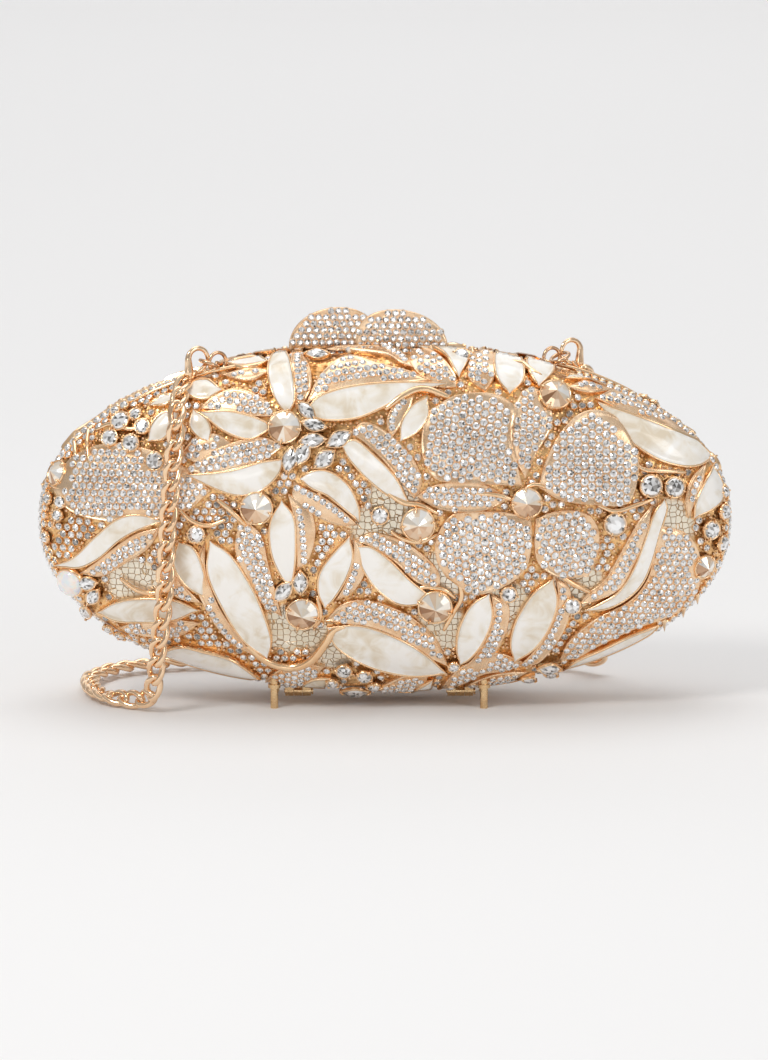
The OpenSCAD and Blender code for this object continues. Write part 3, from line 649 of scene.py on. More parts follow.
    ("P", (-10, 61), (18.5, 44.5), [(-4, 63.5), (6, 60.8), (14.5, 54.5), (18.5, 49)],
     [(-3, 58), (4, 53), (11, 46.5)], 1.8, 2.8),
    ("E", (-9.5, 59), (16.5, 41.5), [(-4.5, 59), (2, 54.5), (9, 47.5)],
     [(-8.2, 52), (-3.5, 44.5), (4, 39), (11.5, 38.8)], 3.2, 2.6),
    ("P", (36, 42.5), (27, 18), [(36.5, 35), (33.5, 27), (30, 21)],
     [(42, 38.5), (41.5, 30), (37.5, 22), (32, 18)], 2.8, 1.8),
    ("E", (35.5, 43), (25.5, 18.5), [(29, 39), (25, 31.5), (24, 24)],
     [(36.8, 35), (34, 27), (29.5, 21)], 2.8, 3.2),
    ("P", (58, 48), (46, 18.5), [(58.5, 40), (55.5, 31), (51, 24)],
     [(63, 44), (62.5, 34), (58.5, 25.5), (52, 18.5)], 2.8, 1.8),
    ("E", (57, 48), (44, 19.5), [(50, 43), (44.5, 34.5), (42.3, 26)],
     [(58.8, 40), (56, 31), (50.8, 24)], 2.8, 3.2),
    ("P", (-20.5, 17.5), (-42, 11.5), [(-28, 18.8), (-36, 16.8)], [(-26, 12), (-35, 9.5)], 2.2, 1.6),
    ("E", (-18.5, 13.5), (-35, 6.5), [(-26, 13)], [(-23.5, 7)], 2.0, 1.6),
    ("P", (15, 14.5), (-7.5, 4), [(8, 15), (0, 11.5), (-5.5, 8)], [(12, 8), (4, 3.5)], 2.0, 1.6),
    ("E", (16.5, 13.5), (2.5, 3.5), [(10, 10)], [(15.5, 7), (10, 3)], 2.4, 1.8),
    ("P", (48, 19), (18.5, 8.5), [(38, 22.5), (28, 19), (21.5, 13.5)],
     [(42, 16.2), (34, 15), (26, 11.3)], 2.2, 1.8),
    ("P", (48.5, 15.5), (20.5, 4.5), [(38, 15), (28, 11)], [(40, 10.2), (30, 6)], 1.8, 1.6),
    ("E", (51.5, 14.5), (32.5, 4.5), [(43, 12)], [(46.5, 7.8), (38, 4)], 2.0, 1.6),
]
RIVOLI = [(-34, 99.5, 5.4), (-43.5, 72, 5.4), (-28, 36, 5.4), (11.3, 66.5, 5.5), (17, 38.3, 5.6),
          (57.5, 110, 5.2), (108.5, 52, 4.0), (-111, 83.5, 4.3), (48, 73.8, 5.0)]
ROUND = [(-89.5, 101, 3.2), (-93, 95.5, 2.8), (-86, 94, 2.8), (-82, 99.5, 2.5), (-84.5, 103.5, 2.0),
         (-92, 105, 1.6), (-88.5, 106.5, 1.5), (-78, 88, 3.0), (-64, 63, 2.8), (-1.7, 69.5, 2.8),
         (42, 42.5, 2.6), (23.5, 17.5, 1.8), (28, 128.5, 2.6), (90, 79.5, 3.7), (98, 79, 3.4),
         (78, 66.5, 3.7), (63.5, 38.5, 2.8), (-14, 16.3, 2.6), (-7, 14.5, 2.5), (-18, 12, 2.0),
         (-3.8, 10.8, 2.1), (115.6, 77.5, 1.9), (114.5, 70.5, 2.6), (110.5, 64.5, 3.0), (114, 60, 2.7),
         (112.5, 53, 1.8), (-114, 75, 1.8), (-110, 74, 2.0), (-111, 69.5, 1.8), (-115, 62, 1.9),
         (-96, 31, 1.8), (-92.5, 28.5, 1.8)]
NAVETTE = [(-26.5, 105, 8, 4, 45), (-24, 100.3, 8.5, 4, 12), (-24.5, 95, 9, 4.4, -6),
           (-15.5, 95.5, 9.5, 4.8, -30), (-28, 90.5, 8.5, 4.6, -60), (-20.5, 88.7, 8.5, 5, -40),
           (-32.3, 88.5, 9, 4.4, -78), (-28.7, 46.5, 8, 4.6, 90), (-34.5, 43.5, 9, 4.6, -50),
           (-101, 46.5, 7.5, 4.2, -10), (-99, 42, 7.5, 4, -50), (-101.5, 37, 8, 4, -60),
           (-10.5, 8.5, 9.5, 5, 0), (56, 17.5, 8, 5, 5), (53, 10.5, 5.5, 3, 20), (61, 12.5, 5.5, 3, 22),
           (-24, 127, 8, 4, 0)]
CABOCHON = [(-106.8, 46.8, 4.9)]
VINES = [  # points, thickness
    ([(-47, 25), (-40, 19.5), (-32, 17.6), (-25, 20), (-20, 26), (-17, 30.5), (-11, 31.5)], 1.5),
    ([(0, 105.5), (6, 110), (13, 112.3), (22, 109.5)], 1.3),
    ([(44.5, 128), (46, 122), (49, 118.5), (53, 116.5)], 1.0),
    ([(30, 77), (38, 76.5), (44, 74.5)], 0.9),
    ([(44, 75), (50, 80), (58, 78), (68, 76)], 0.8),
    ([(-106.5, 99), (-105, 94), (-104.5, 89)], 0.8),
    ([(-100.3, 101), (-100.5, 92), (-99, 84), (-96, 80.5), (-92, 79.5)], 0.8),
    ([(-113, 79), (-100, 77.5), (-85, 79), (-70, 80), (-60, 78)], 0.8),
    ([(-86, 108), (-78, 112), (-70, 116), (-60, 119.5), (-50, 127)], 0.8),
    ([(-98, 98), (-92, 100), (-86, 98.5), (-80, 101)], 0.8),
    ([(-57, 75), (-52, 71), (-47, 66)], 1.0),
    ([(-72, 74), (-66, 68), (-60, 66), (-54, 68)], 0.9),
    ([(-24, 83), (-22, 76), (-23, 69)], 0.8),
    ([(0, 78), (6, 74), (12, 73), (18, 70)], 1.0),
    ([(2, 64), (6, 61.5), (12, 60.5), (18, 63)], 0.9),
    ([(10, 44), (14, 45), (20, 44), (24, 41)], 0.9),
    ([(58, 50), (64, 46), (70, 43)], 0.9),
    ([(72, 73), (78, 71), (85, 73), (91, 75)], 0.9),
    ([(84, 88), (88, 85), (95, 84.5), (102, 84)], 0.9),
    ([(-90, 48), (-84, 44), (-78, 43), (-72, 45)], 0.9),
    ([(-24, 31), (-22, 35), (-23, 42)], 0.9),
    ([(20, 30), (23, 36), (26, 42), (24, 50)], 0.9),
]


def shape(entry, n=30):
    """Both edges of an ornament, as true x and z, from base to tip."""
    _, base, tip, a, b = entry[:5]
    return (seen(smooth([base, *a, tip], n), 1.05), seen(smooth([base, *b, tip], n), 1.05))


SHAPES = [shape(e) for e in ORNAMENT]
OUTLINES = [np.vstack([a, b[::-1]]) for a, b in SHAPES]


def inside(p, poly):
    x, y = p[:, 0][:, None], p[:, 1][:, None]
    x1, y1 = poly[:, 0], poly[:, 1]
    x2, y2 = np.roll(x1, -1), np.roll(y1, -1)
    c = ((y1 > y) != (y2 > y)) & (x < (x2 - x1) * (y - y1) / (y2 - y1 + 1e-12) + x1)
    return (c.sum(1) % 2).astype(bool)


def edge_gap(p, poly):
    """Distance from each point to a closed outline."""
    a, b = poly, np.roll(poly, -1, 0)
    d = b - a
    t = np.clip(((p[:, None] - a) * d).sum(-1) / ((d * d).sum(-1) + 1e-12), 0, 1)
    return np.linalg.norm(p[:, None] - (a + t[..., None] * d), axis=-1).min(1)


def surface(entry, ab):
    """Grid of one ornament: its points, heights and which columns are its raised edge."""
    kind, h_a, h_b = entry[0], entry[5], entry[6]
    pa, pb = ab
    n = len(pa)
    width = np.linalg.norm(pb - pa, axis=1)
    rim = 0.75 if kind == "E" else 0.6
    cols = [(0, -1.2), (0, -0.35), (0.2, 0.05), (0.55, 0.22), (0.9, 0.05), (1.0, -0.12)]
    if kind != "E":
        cols = [(0, -1.2), (0, -0.35), (0.2, 0.0), (0.55, 0.12), (0.9, 0.05), (1.0, -0.02)]
    m = 9 if kind == "H" else 7
    u = np.linspace(0, 1, n)
    along = 0.72 + 0.28 * np.sin(np.pi * np.clip(u, 0.0, 1.0)) ** 0.6
    camber = {"E": 0.035, "P": 0.06, "H": 0.05}[kind] * np.minimum(width, 16)
    rim_w = np.minimum(rim, 0.28 * width)
    p, h = [], []
    for off, dh in cols:
        f = (off * rim_w / np.maximum(width, 1e-6))
        p.append(pa + f[:, None] * (pb - pa))
        h.append(np.full(n, -0.5) if dh == -1.2 else h_a * along + dh)
    for s in np.linspace(0, 1, m + 2)[1:-1]:
        f0 = rim_w / np.maximum(width, 1e-6)
        f = f0 + s * (1 - 2 * f0)
        p.append(pa + f[:, None] * (pb - pa))
        crown = camber * np.sin(np.pi * s)
        if kind == "H":                       # a soft fold down the petal
            crown = crown - 0.5 * np.exp(-((s - 0.5) / 0.12) ** 2) * np.sin(np.pi * u)
        h.append((h_a + (h_b - h_a) * f) * along + cols[-1][1] + crown)
    for off, dh in cols[::-1]:
        f = 1 - (off * rim_w / np.maximum(width, 1e-6))
        p.append(pa + f[:, None] * (pb - pa))
        h.append(np.full(n, -0.5) if dh == -1.2 else h_b * along + dh)
    return np.stack(p, 1), np.stack(h, 1), len(cols)


def grid_faces(n, m):
    return [[i * m + j, i * m + j + 1, (i + 1) * m + j + 1, (i + 1) * m + j]
            for i in range(n - 1) for j in range(m - 1)]


def ornament(bag, entry, ab):
    """One solid ornament: material 0 is its metal, 1 the enamel inside the raised edge."""
    p, h, edge = surface(entry, ab)
    n, m = h.shape
    v, _ = face(p[..., 0], p[..., 1], h)
    f = grid_faces(n, m)
    enamelled = entry[0] == "E"
    mats = [int(enamelled and edge - 1 <= j < m - edge) for _ in range(n - 1) for j in range(m - 1)]
    bag.put(v.reshape(-1, 3), f, mats)
    # close the two ends and the underside
    under = [[i * m, (i + 1) * m, (i + 1) * m + m - 1, i * m + m - 1] for i in range(n - 1)]
    ends = [list(range(m))[::-1], [(n - 1) * m + j for j in range(m)]]
    bag.put(v.reshape(-1, 3), [q[::-1] for q in under] + ends, 0)


PITCH, STONE_R = 2.5, 1.13
ROSE_PITCH, ROSE_R = 2.78, 1.27


def lay_stones(entry, ab):
    """Places for the small stones of one ornament: x, z and height."""
    p, h, edge = surface(entry, ab)
    pa, pb = ab
    pitch, edging = (ROSE_PITCH, 1.1) if entry[0] == "H" else (PITCH, 0.85)
    v, _ = face(p[..., 0], p[..., 1], h)
    mid = v[:, edge - 1:v.shape[1] - edge + 1]
    width = np.linalg.norm(np.diff(mid, axis=1), axis=2).sum(1)
    out = []
    if entry[0] == "H" or width.max() > 7:
        mid_x, mid_z = (pa.mean(0) + pb.mean(0)) / 2
        t = math.atan2(*(pa[-1] - pa[0])[::-1])
        c, nor = face(mid_x, mid_z, 2.0)
        u, w = basis(nor, t)
        g = np.arange(-24, 25)
        gx, gy = np.meshgrid(g, g)
        q = c + ((gx + 0.5 * (gy % 2)) * pitch)[..., None] * u + (gy * pitch * 0.87)[..., None] * w
        q = q.reshape(-1, 3)[:, [0, 2]]
        poly = np.vstack([pa, pb[::-1]])
        q = q[inside(q, poly)]
        q = q[edge_gap(q, poly) > edging]
        lo, hi = poly.min(0), poly.max(0)
        more = RNG.uniform(lo, hi, (500, 2))
        more = more[inside(more, poly)]
        more = more[edge_gap(more, poly) > edging]
        have = face(q[:, 0], q[:, 1], 2.0)[0] if len(q) else np.full((1, 3), 1e3)
        for x, z in more:
            c = face(x, z, 2.0)[0]
            if ((have - c) ** 2).sum(1).min() > (0.9 * pitch) ** 2:
                have, q = np.vstack([have, c]), np.vstack([q, [x, z]])
        for x, z in q:
            k = np.argmin(((p - [x, z]) ** 2).sum(-1))
            out.append((x, z, h.reshape(-1)[k]))
        return out
    margin = 0.95
    rows = int(max(0, (width.max() - 2 * margin)) / (PITCH * 0.87)) + 1
    spare = max(0, width.max() - 2 * margin - (rows - 1) * PITCH * 0.87)
    for j in range(rows):
        d = margin + spare / 2 + j * PITCH * 0.87
        ok = width > d + margin * 0.75
        if not ok.any():
            continue
        f = np.clip(d / np.maximum(width, 1e-6), 0, 1)
        col = edge - 1 + f * (v.shape[1] - 2 * edge + 1)
        k = np.clip(col.astype(int), 0, v.shape[1] - 2)
        w = (col - k)[:, None]
        r = np.arange(len(k))
        line = v[r, k] * (1 - w) + v[r, k + 1] * w
        flat = p[r, k] * (1 - w) + p[r, k + 1] * w
        hh = h[r, k] * (1 - w[:, 0]) + h[r, k + 1] * w[:, 0]
        s = np.concatenate([[0], np.cumsum(np.linalg.norm(np.diff(line, axis=0), axis=1))])
        for q in np.arange(PITCH * (0.6 if j % 2 else 1.1), s[-1], PITCH):
            i = np.interp(q, s, r)
            if ok[int(round(i))]:
                out.append((np.interp(i, r, flat[:, 0]), np.interp(i, r, flat[:, 1]), np.interp(i, r, hh)))
    return out


# ---------------------------------------------------------------- the camera
def camera():
    cam = bpy.data.objects.new("camera", bpy.data.cameras.new("camera"))
    bpy.context.scene.collection.objects.link(cam)
    aim = np.array([-0.34, 0.0, 59.5]) * MM
    far = 2.4
    cam.location = aim + far * np.array([0, -math.cos(SEEN_FROM), math.sin(SEEN_FROM)])
    cam.rotation_euler = (math.pi / 2 - SEEN_FROM, 0, 0)
    cam.data.sensor_width = 36
    cam.data.lens = 237.03                      # the bag fills about nine tenths of the picture's width
    cam.data.clip_end = 50
    bpy.context.scene.camera = cam


camera()

# ---------------------------------------------------------------- the chain
REST = 6.2                                # chain's middle above the shell where it lies on leaves
SIDE = [(69.5, 108.5), (69.3, 102), (70, 95), (71, 86), (72, 76), (73, 64)]
COIL_R, COIL_AT = 38.0, (0.0, 88.0)


def chain_route():
    s = np.array(SIDE, float)
    top, _ = face(-s[:, 0], s[:, 1], REST)
    drop = np.vstack([[[-67.9, -10.2, 113.6], [-69.2, -14.2, 111.6]], top[1:], [
        [-74.5, -31.5, 51], [-75.5, -30.5, 38], [-77, -28.5, 26], [-78.5, -26, 14], [-80, -23, 6.9],
        [-83.5, -18.5, 4.0], [-89.5, -14, 3.3], [-96, -8.5, 3.2], [-100.5, 1, 3.2], [-102.5, 13, 3.2]]])
    tail = [[-102, 22, 3.2], [-98, 31, 3.2], [-91, 39, 3.2], [-80, 45, 3.2], [-65, 49, 3.2]]
    turns = 2.75
    a0, a1 = -math.pi / 2 - 0.35, -math.pi / 2 - 0.35 + 2 * math.pi * turns
    a = np.linspace(a0, a1, 60)
    climb = 3.3 + 3.3 * np.clip((a - a0) / (2 * math.pi), 0, 3)
    coil = np.stack([COIL_AT[0] + COIL_R * np.cos(a), COIL_AT[1] + COIL_R * np.sin(a), climb], -1)
    back = top[::-1] * [-1, -1, 1]
    up = np.array([[65, 46, 6], [71.5, 38.5, 9.5], [74, 35.5, 17], [75, 34, 28], [75.5, 33.5, 40]])
    end = np.array([[69.2, 14.2, 111.6], [67.9, 10.2, 113.6]])
    return np.vstack([drop, tail, coil, up, back[:-1], end])


def chain():
    knots = chain_route()
    fine = smooth(knots, 1400)
    s = np.concatenate([[0], np.cumsum(np.linalg.norm(np.diff(fine, axis=0), axis=1))])
    links = int(round(s[-1] / 6.9))
    pitch = s[-1] / links
    at = (np.arange(links) + 0.5) * pitch
    c = np.stack([np.interp(at, s, fine[:, k]) for k in range(3)], -1)
    t = np.stack([np.interp(at + 2, s, fine[:, k]) - np.interp(at - 2, s, fine[:, k]) for k in range(3)], -1)
    t /= np.linalg.norm(t, axis=1)[:, None]
    # the flat of the chain faces out from the bag where it hangs, and up where it lies
    outward = np.stack([c[:, 0] * 0.3, np.sign(c[:, 1]) * 60, 0 * c[:, 0]], -1)
    flat = np.where((c[:, 2] < 20)[:, None], [0, 0, 1.0], outward)
    for _ in range(6):
        flat[1:-1] = (flat[:-2] + flat[2:] + flat[1:-1]) / 3
    flat -= (flat * t).sum(1)[:, None] * t
    flat /= np.linalg.norm(flat, axis=1)[:, None]
    side = np.cross(flat, t)
    bag = Bag()
    k = 28
    a = 2 * np.pi * np.arange(k) / k
    twist = 0.72 * np.cos(a)
    # one link: an oval whose ends are twisted opposite ways, so that the links lie flat in each other
    across = 2.35 * np.sin(a)
    link = np.stack([4.8 * np.cos(a), across * np.cos(twist), across * np.sin(twist)], -1)
    for i in range(links):
        roll = 0.10 * math.sin(i * 2.1)
        f = flat[i] * math.cos(roll) + side[i] * math.sin(roll)
        w = side[i] * math.cos(roll) - flat[i] * math.sin(roll)
        m = np.stack([t[i], w, f])
        v, q = tube(c[i] + link @ m, 1.08, 10, closed=True)
        bag.put(v, q)
    o = bag.make("chain", [CHAIN], slot="rose_gold")
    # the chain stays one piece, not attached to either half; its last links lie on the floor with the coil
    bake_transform(o)
    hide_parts("strap_drop", "strap_tail", "strap_coil", "strap_rise")
    path = smooth(knots, 400) * MM
    return o, path, s[-1]


# ---------------------------------------------------------------- shells, skins and lining
BARE_SPOTS = [(-86, 46), (-33, 30), (-18, 24), (19, 30), (19, 48), (66, 45), (97, 66), (3, 74),
              (-3, 64), (42, 37)]


def closed_dome(name, a, b, base, d, wall, mat, seg, rings, pleat=0.0):
    """A hollow half shell of that wall thickness, open at the split; it notes where the skin lies bare."""
    lev = np.sin(np.pi / 2 * np.arange(rings, 0, -1) / rings)
    t = 2 * np.pi * np.arange(seg) / seg
    c, s = np.cos(t), np.sin(t)
    ux, uz = np.sign(c) * np.abs(c) ** (2 / OUTLINE), np.sign(s) * np.abs(s) ** (2 / OUTLINE)

    def layer(a, b, d):
        r = lev[:, None]
        y = -base - d * (1 - (r * np.ones(seg)) ** SECTION) ** (1 / SECTION)
        return np.stack([a * r * ux, y, MID + b * r * uz], -1).reshape(-1, 3)

    v = np.vstack([layer(a, b, d), layer(a - wall, b - wall, d - wall),
                   [[0, -base - d, MID], [0, -base - d + wall, MID]]])
    n = seg * rings
    if pleat:                                 # the cloth is gathered a little towards its rim
        fold = np.sin(46 * t + 1.3 * np.sin(5 * t)) * (0.6 + 0.4 * np.sin(7 * t + 1))
        near = np.clip((lev - 0.45) / 0.3, 0, 1)[:, None] * np.clip((1 - lev) / 0.06, 0, 1)[:, None]
        v[:2 * n, 1] += np.tile((pleat * near * fold).reshape(-1), 2)
    f = []
    for first, flip in ((0, False), (n, True)):
        for k in range(rings - 1):
            for i in range(seg):
                j = (i + 1) % seg
                q = [first + k * seg + i, first + (k + 1) * seg + i,
                     first + (k + 1) * seg + j, first + k * seg + j]
                f.append(q[::-1] if flip else q)
        for i in range(seg):
            j = (i + 1) % seg
            q = [first + (rings - 1) * seg + i, 2 * n + (first > 0), first + (rings - 1) * seg + j]
            f.append(q[::-1] if flip else q)
    f += [[i, (i + 1) % seg, n + (i + 1) % seg, n + i] for i in range(seg)]
    o = piece(name, v, f, [mat])
    away = np.min(np.linalg.norm(v[:, None, [0, 2]] - seen(BARE_SPOTS)[None], axis=2), axis=1)
    bare = o.data.attributes.new("bare", "FLOAT", "POINT")
    bare.data.foreach_set("value", np.clip((9.5 - away) / 1.5, 0, 1).astype(np.float32))
    return o


def build_shells():
    skin_shell = closed_dome("front_shell_skin", A, B, BASE, DOME, 2.6, SKIN, 240, 60)
    both("shell_skin", skin_shell, "embossed_skin", "shell", "skin")
    tray = closed_dome("front_tray", 115.3, 55.8, 0.9, 24.4, 1.6, SATIN, 460, 40, 0.45)
    both("tray", tray, "lining", "lining")
    t = 2 * np.pi * np.arange(200) / 200
    bag = Bag()
    for a, b, y, r in ((113.4, 53.9, 1.15, 0.8), (112.2, 52.7, 2.3, 0.45)):
        x, z = oval(a, b, t)
        bag.put(*tube(np.stack([x, -y + 0 * t, z], -1), r, 8, closed=True))
    both("piping", bag.make("front_piping", [CORD]), "lining")


# ---------------------------------------------------------------- ornament on the halves
def build_ornament():
    leaves, petals = Bag(), Bag()
    for e, ab in zip(ORNAMENT, SHAPES):
        ornament(leaves if e[0] == "E" else petals, e, ab)
    leaf_piece = leaves.make("front_enamel_leaves", [GOLD, enamel()])
    both("enamel_leaves", leaf_piece, "pearl_enamel", "leaves", "lily")
    both("pave_leaves", petals.make("front_pave_leaves", [PLATE]), "pave", "rose")
    # small stones, dropped where a higher leaf or a large stone covers them
    spots, owner = [], []
    for i, (e, ab) in enumerate(zip(ORNAMENT, SHAPES)):
        if e[0] != "E":
            s = lay_stones(e, ab)
            spots += s
            owner += [i] * len(s)
    spots, owner = np.array(spots), np.array(owner)
    keep = np.ones(len(spots), bool)
    for i, (e, poly) in enumerate(zip(ORNAMENT, OUTLINES)):
        over = inside(spots[:, :2], poly) | (edge_gap(spots[:, :2], poly) < 0.9)
        top = max(e[5], e[6])
        if e[0] == "E":
            keep &= ~(over & (owner != i))
        else:
            low = np.array([max(ORNAMENT[k][5], ORNAMENT[k][6]) for k in owner])
            keep &= ~(over & (owner != i) & ((low < top) | ((low == top) & (owner < i))))
    big = [(*seen((x, z))[0], r) for x, z, r in RIVOLI + ROUND + CABOCHON]
    big += [(*seen((x, z))[0], length * 0.42) for x, z, length, _, _ in NAVETTE]
    for x, z, r in big:
        keep &= np.hypot(spots[:, 0] - x, spots[:, 1] - z) > r + 1.1
    spots, kinds = spots[keep], np.array([ORNAMENT[k][0] == "H" for k in owner])[keep]
    c, n = face(spots[:, 0], spots[:, 1], spots[:, 2])
    done = []
    stones = Bag()
    for k in range(len(c)):
        r = ROSE_R if kinds[k] else STONE_R
        if done and np.min(np.linalg.norm(np.array(done) - c[k], axis=1)) < 1.93 * r:
            continue
        done.append(c[k])
        tilt = n[k] + RNG.normal(0, 0.05, 3)
        set_stone(stones, "small", c[k], tilt / np.linalg.norm(tilt), r * RNG.uniform(0.95, 1.04),
                  RNG.uniform(0, 6.3), lift=0.18)
    # the net between the leaves: stones, then gold beads in what room is left
    taken = [np.array(done)]
    g = np.stack(np.meshgrid(np.arange(-42, 43), np.arange(-26, 27)), -1).reshape(-1, 2)
    even = np.stack([(g[:, 0] + 0.5 * (g[:, 1] % 2)) * 2.85, MID + g[:, 1] * 2.47], -1)
    loose = np.stack([RNG.uniform(-A, A, 26000), RNG.uniform(MID - B, MID + B, 26000)], -1)
    clear = [(*seen((x, z))[0], r + 0.4) for x, z, r in RIVOLI + ROUND + CABOCHON]
    clear += [(*seen((x, z))[0], length * 0.45) for x, z, length, _, _ in NAVETTE]
    spots2 = seen(BARE_SPOTS)
    for cand, gap, room, r in ((np.vstack([even, loose[:12000]]), 2.62, 1.25, 1.15),
                               (loose, 1.95, 0.55, 0.62)):
        ok = share(cand[:, 0], cand[:, 1]) < 0.985
        cand = cand[ok]
        ok = np.ones(len(cand), bool)
        for poly in OUTLINES:
            lo, hi = poly.min(0), poly.max(0)
            k = np.flatnonzero((np.abs(cand - (hi + lo) / 2) < (hi - lo) / 2 + 2).all(1) & ok)
            if len(k):
                ok[k[inside(cand[k], poly) | (edge_gap(cand[k], poly) < room)]] = False
        for x, z, rr in clear:
            ok &= np.hypot(cand[:, 0] - x, cand[:, 1] - z) > rr + room
        away = np.min(np.linalg.norm(cand[:, None] - spots2, axis=2), axis=1)
        ok &= away > 8.6
        c, n = face(cand[ok, 0], cand[ok, 1], 0.75 if r > 1 else 0.25)
        have = np.vstack(taken)
        new = []
        for k in range(len(c)):
            reach = gap if r > 1 else 1.85
            if np.min(((have - c[k]) ** 2).sum(1)) < reach * reach:
                continue
            if new and np.min(((np.array(new) - c[k]) ** 2).sum(1)) < (gap if r > 1 else 1.3) ** 2:
                continue
            new.append(c[k])
            if r > 1:
                tilt = n[k] + RNG.normal(0, 0.09, 3)
                # about a fifth of these stones get darkened facets: painted dark reflection
                set_stone(stones, "small", c[k], tilt / np.linalg.norm(tilt), r, RNG.uniform(0, 6.3),
                          reflection_level=0.3 if RNG.random() < 0.22 else 1.0)
            else:
                u, w = basis(n[k])
                bv = np.vstack([ring(6, 1, 0), ring(6, 0.8, 0.6), [[0, 0, 1]]]) * r * RNG.uniform(0.75, 1.15)
                bf = [[j, (j + 1) % 6, 6 + (j + 1) % 6, 6 + j] for j in range(6)]
                bf += [[6 + j, 6 + (j + 1) % 6, 12] for j in range(6)]
                stones.put(c[k] + bv @ np.stack([u, w, n[k]]), bf, 1)
        if new:
            taken.append(np.array(new))
    both("small_stones", stones.make("front_small_stones", [CRYSTAL, PLATE]), "crystal")

    rivs, rounds, navs, cabs = Bag(), Bag(), Bag(), Bag()
    for x, z, r in RIVOLI:
        q = seen((x, z))[0]
        c, n = face(*q, 3.0 if r > 4.5 else 2.2)
        set_stone(rivs, "rivoli", c, n, r, RNG.uniform(0, 1), prongs=4)
    for x, z, r in ROUND:
        q = seen((x, z))[0]
        c, n = face(*q, 2.6 if r > 2.3 else 2.2)
        set_stone(rounds, "round", c, n, r, RNG.uniform(0, 1), prongs=4)
    for x, z, length, wide, ang in NAVETTE:
        q = seen((x, z))[0]
        c, n = face(*q, 2.6)
        turn = -math.radians(ang)
        set_stone(navs, "navette", c, n, length / 2 / 1.28, turn, wide / length * 1.4, prongs=2)
    for x, z, r in CABOCHON:
        q = seen((x, z))[0]
        c, n = face(*q, 2.0)
        u, w = basis(n)
        prof = [(1.12, -0.5), (1.12, 0.02), (1.04, 0.12), (1.0, 0.1)]
        k = 36
        v = np.vstack([ring(k, s, h) for s, h in prof])
        cabs.put(c + r * v @ np.stack([u, w, n]), bands(4, k), 1)
        lat = np.linspace(0, math.pi / 2, 9)
        v = np.vstack([ring(k, math.cos(t), 0.1 + 0.55 * math.sin(t)) for t in lat[:-1]] + [[[0, 0, 0.65]]])
        f = bands(8, k) + [[7 * k + j, 7 * k + (j + 1) % k, 8 * k] for j in range(k)]
        cabs.put(c + r * v @ np.stack([u, w, n]), f, 0)
    both("rivolis", rivs.make("front_rivolis_set", [CHAMPAGNE, GOLD]), "champagne_crystal", "rivolis")
    both("chatons", rounds.make("front_chatons_set", [CRYSTAL, GOLD]), "crystal", "chatons")
    both("navettes", navs.make("front_navettes_set", [CRYSTAL, GOLD]), "crystal", "navettes")
    both("cabochons", cabs.make("front_cabochon_set", [OPAL, GOLD]), "opal", "cabochons")

    vines = Bag()
    for pts, thick in VINES:
        n = max(12, int(len(pts) * 7))
        q = seen(smooth(pts, n))
        c, _ = face(q[:, 0], q[:, 1], 1.6 + 0.5 * np.sin(np.linspace(0, math.pi, n)))
        r = thick * (0.45 + 0.55 * np.sin(np.pi * np.linspace(0.04, 0.96, n)) ** 0.5)
        vines.put(*tube(c, r, 10))
    for x, z, dx, dz in ((106, 43, 4.5, -3), (101.5, 38.5, 4, -3.2), (95, 34, 3.2, -3.2)):
        p = seen([(x, z), (x + dx, z + dz)])
        c, _ = face(p[:, 0], p[:, 1], np.array([1.6, 3.0]))
        vines.put(*tube(np.linspace(c[0], c[1], 7), np.linspace(1.0, 0.12, 7), 8))
    both("vines", vines.make("front_vines", [GOLD]), "rose_gold")


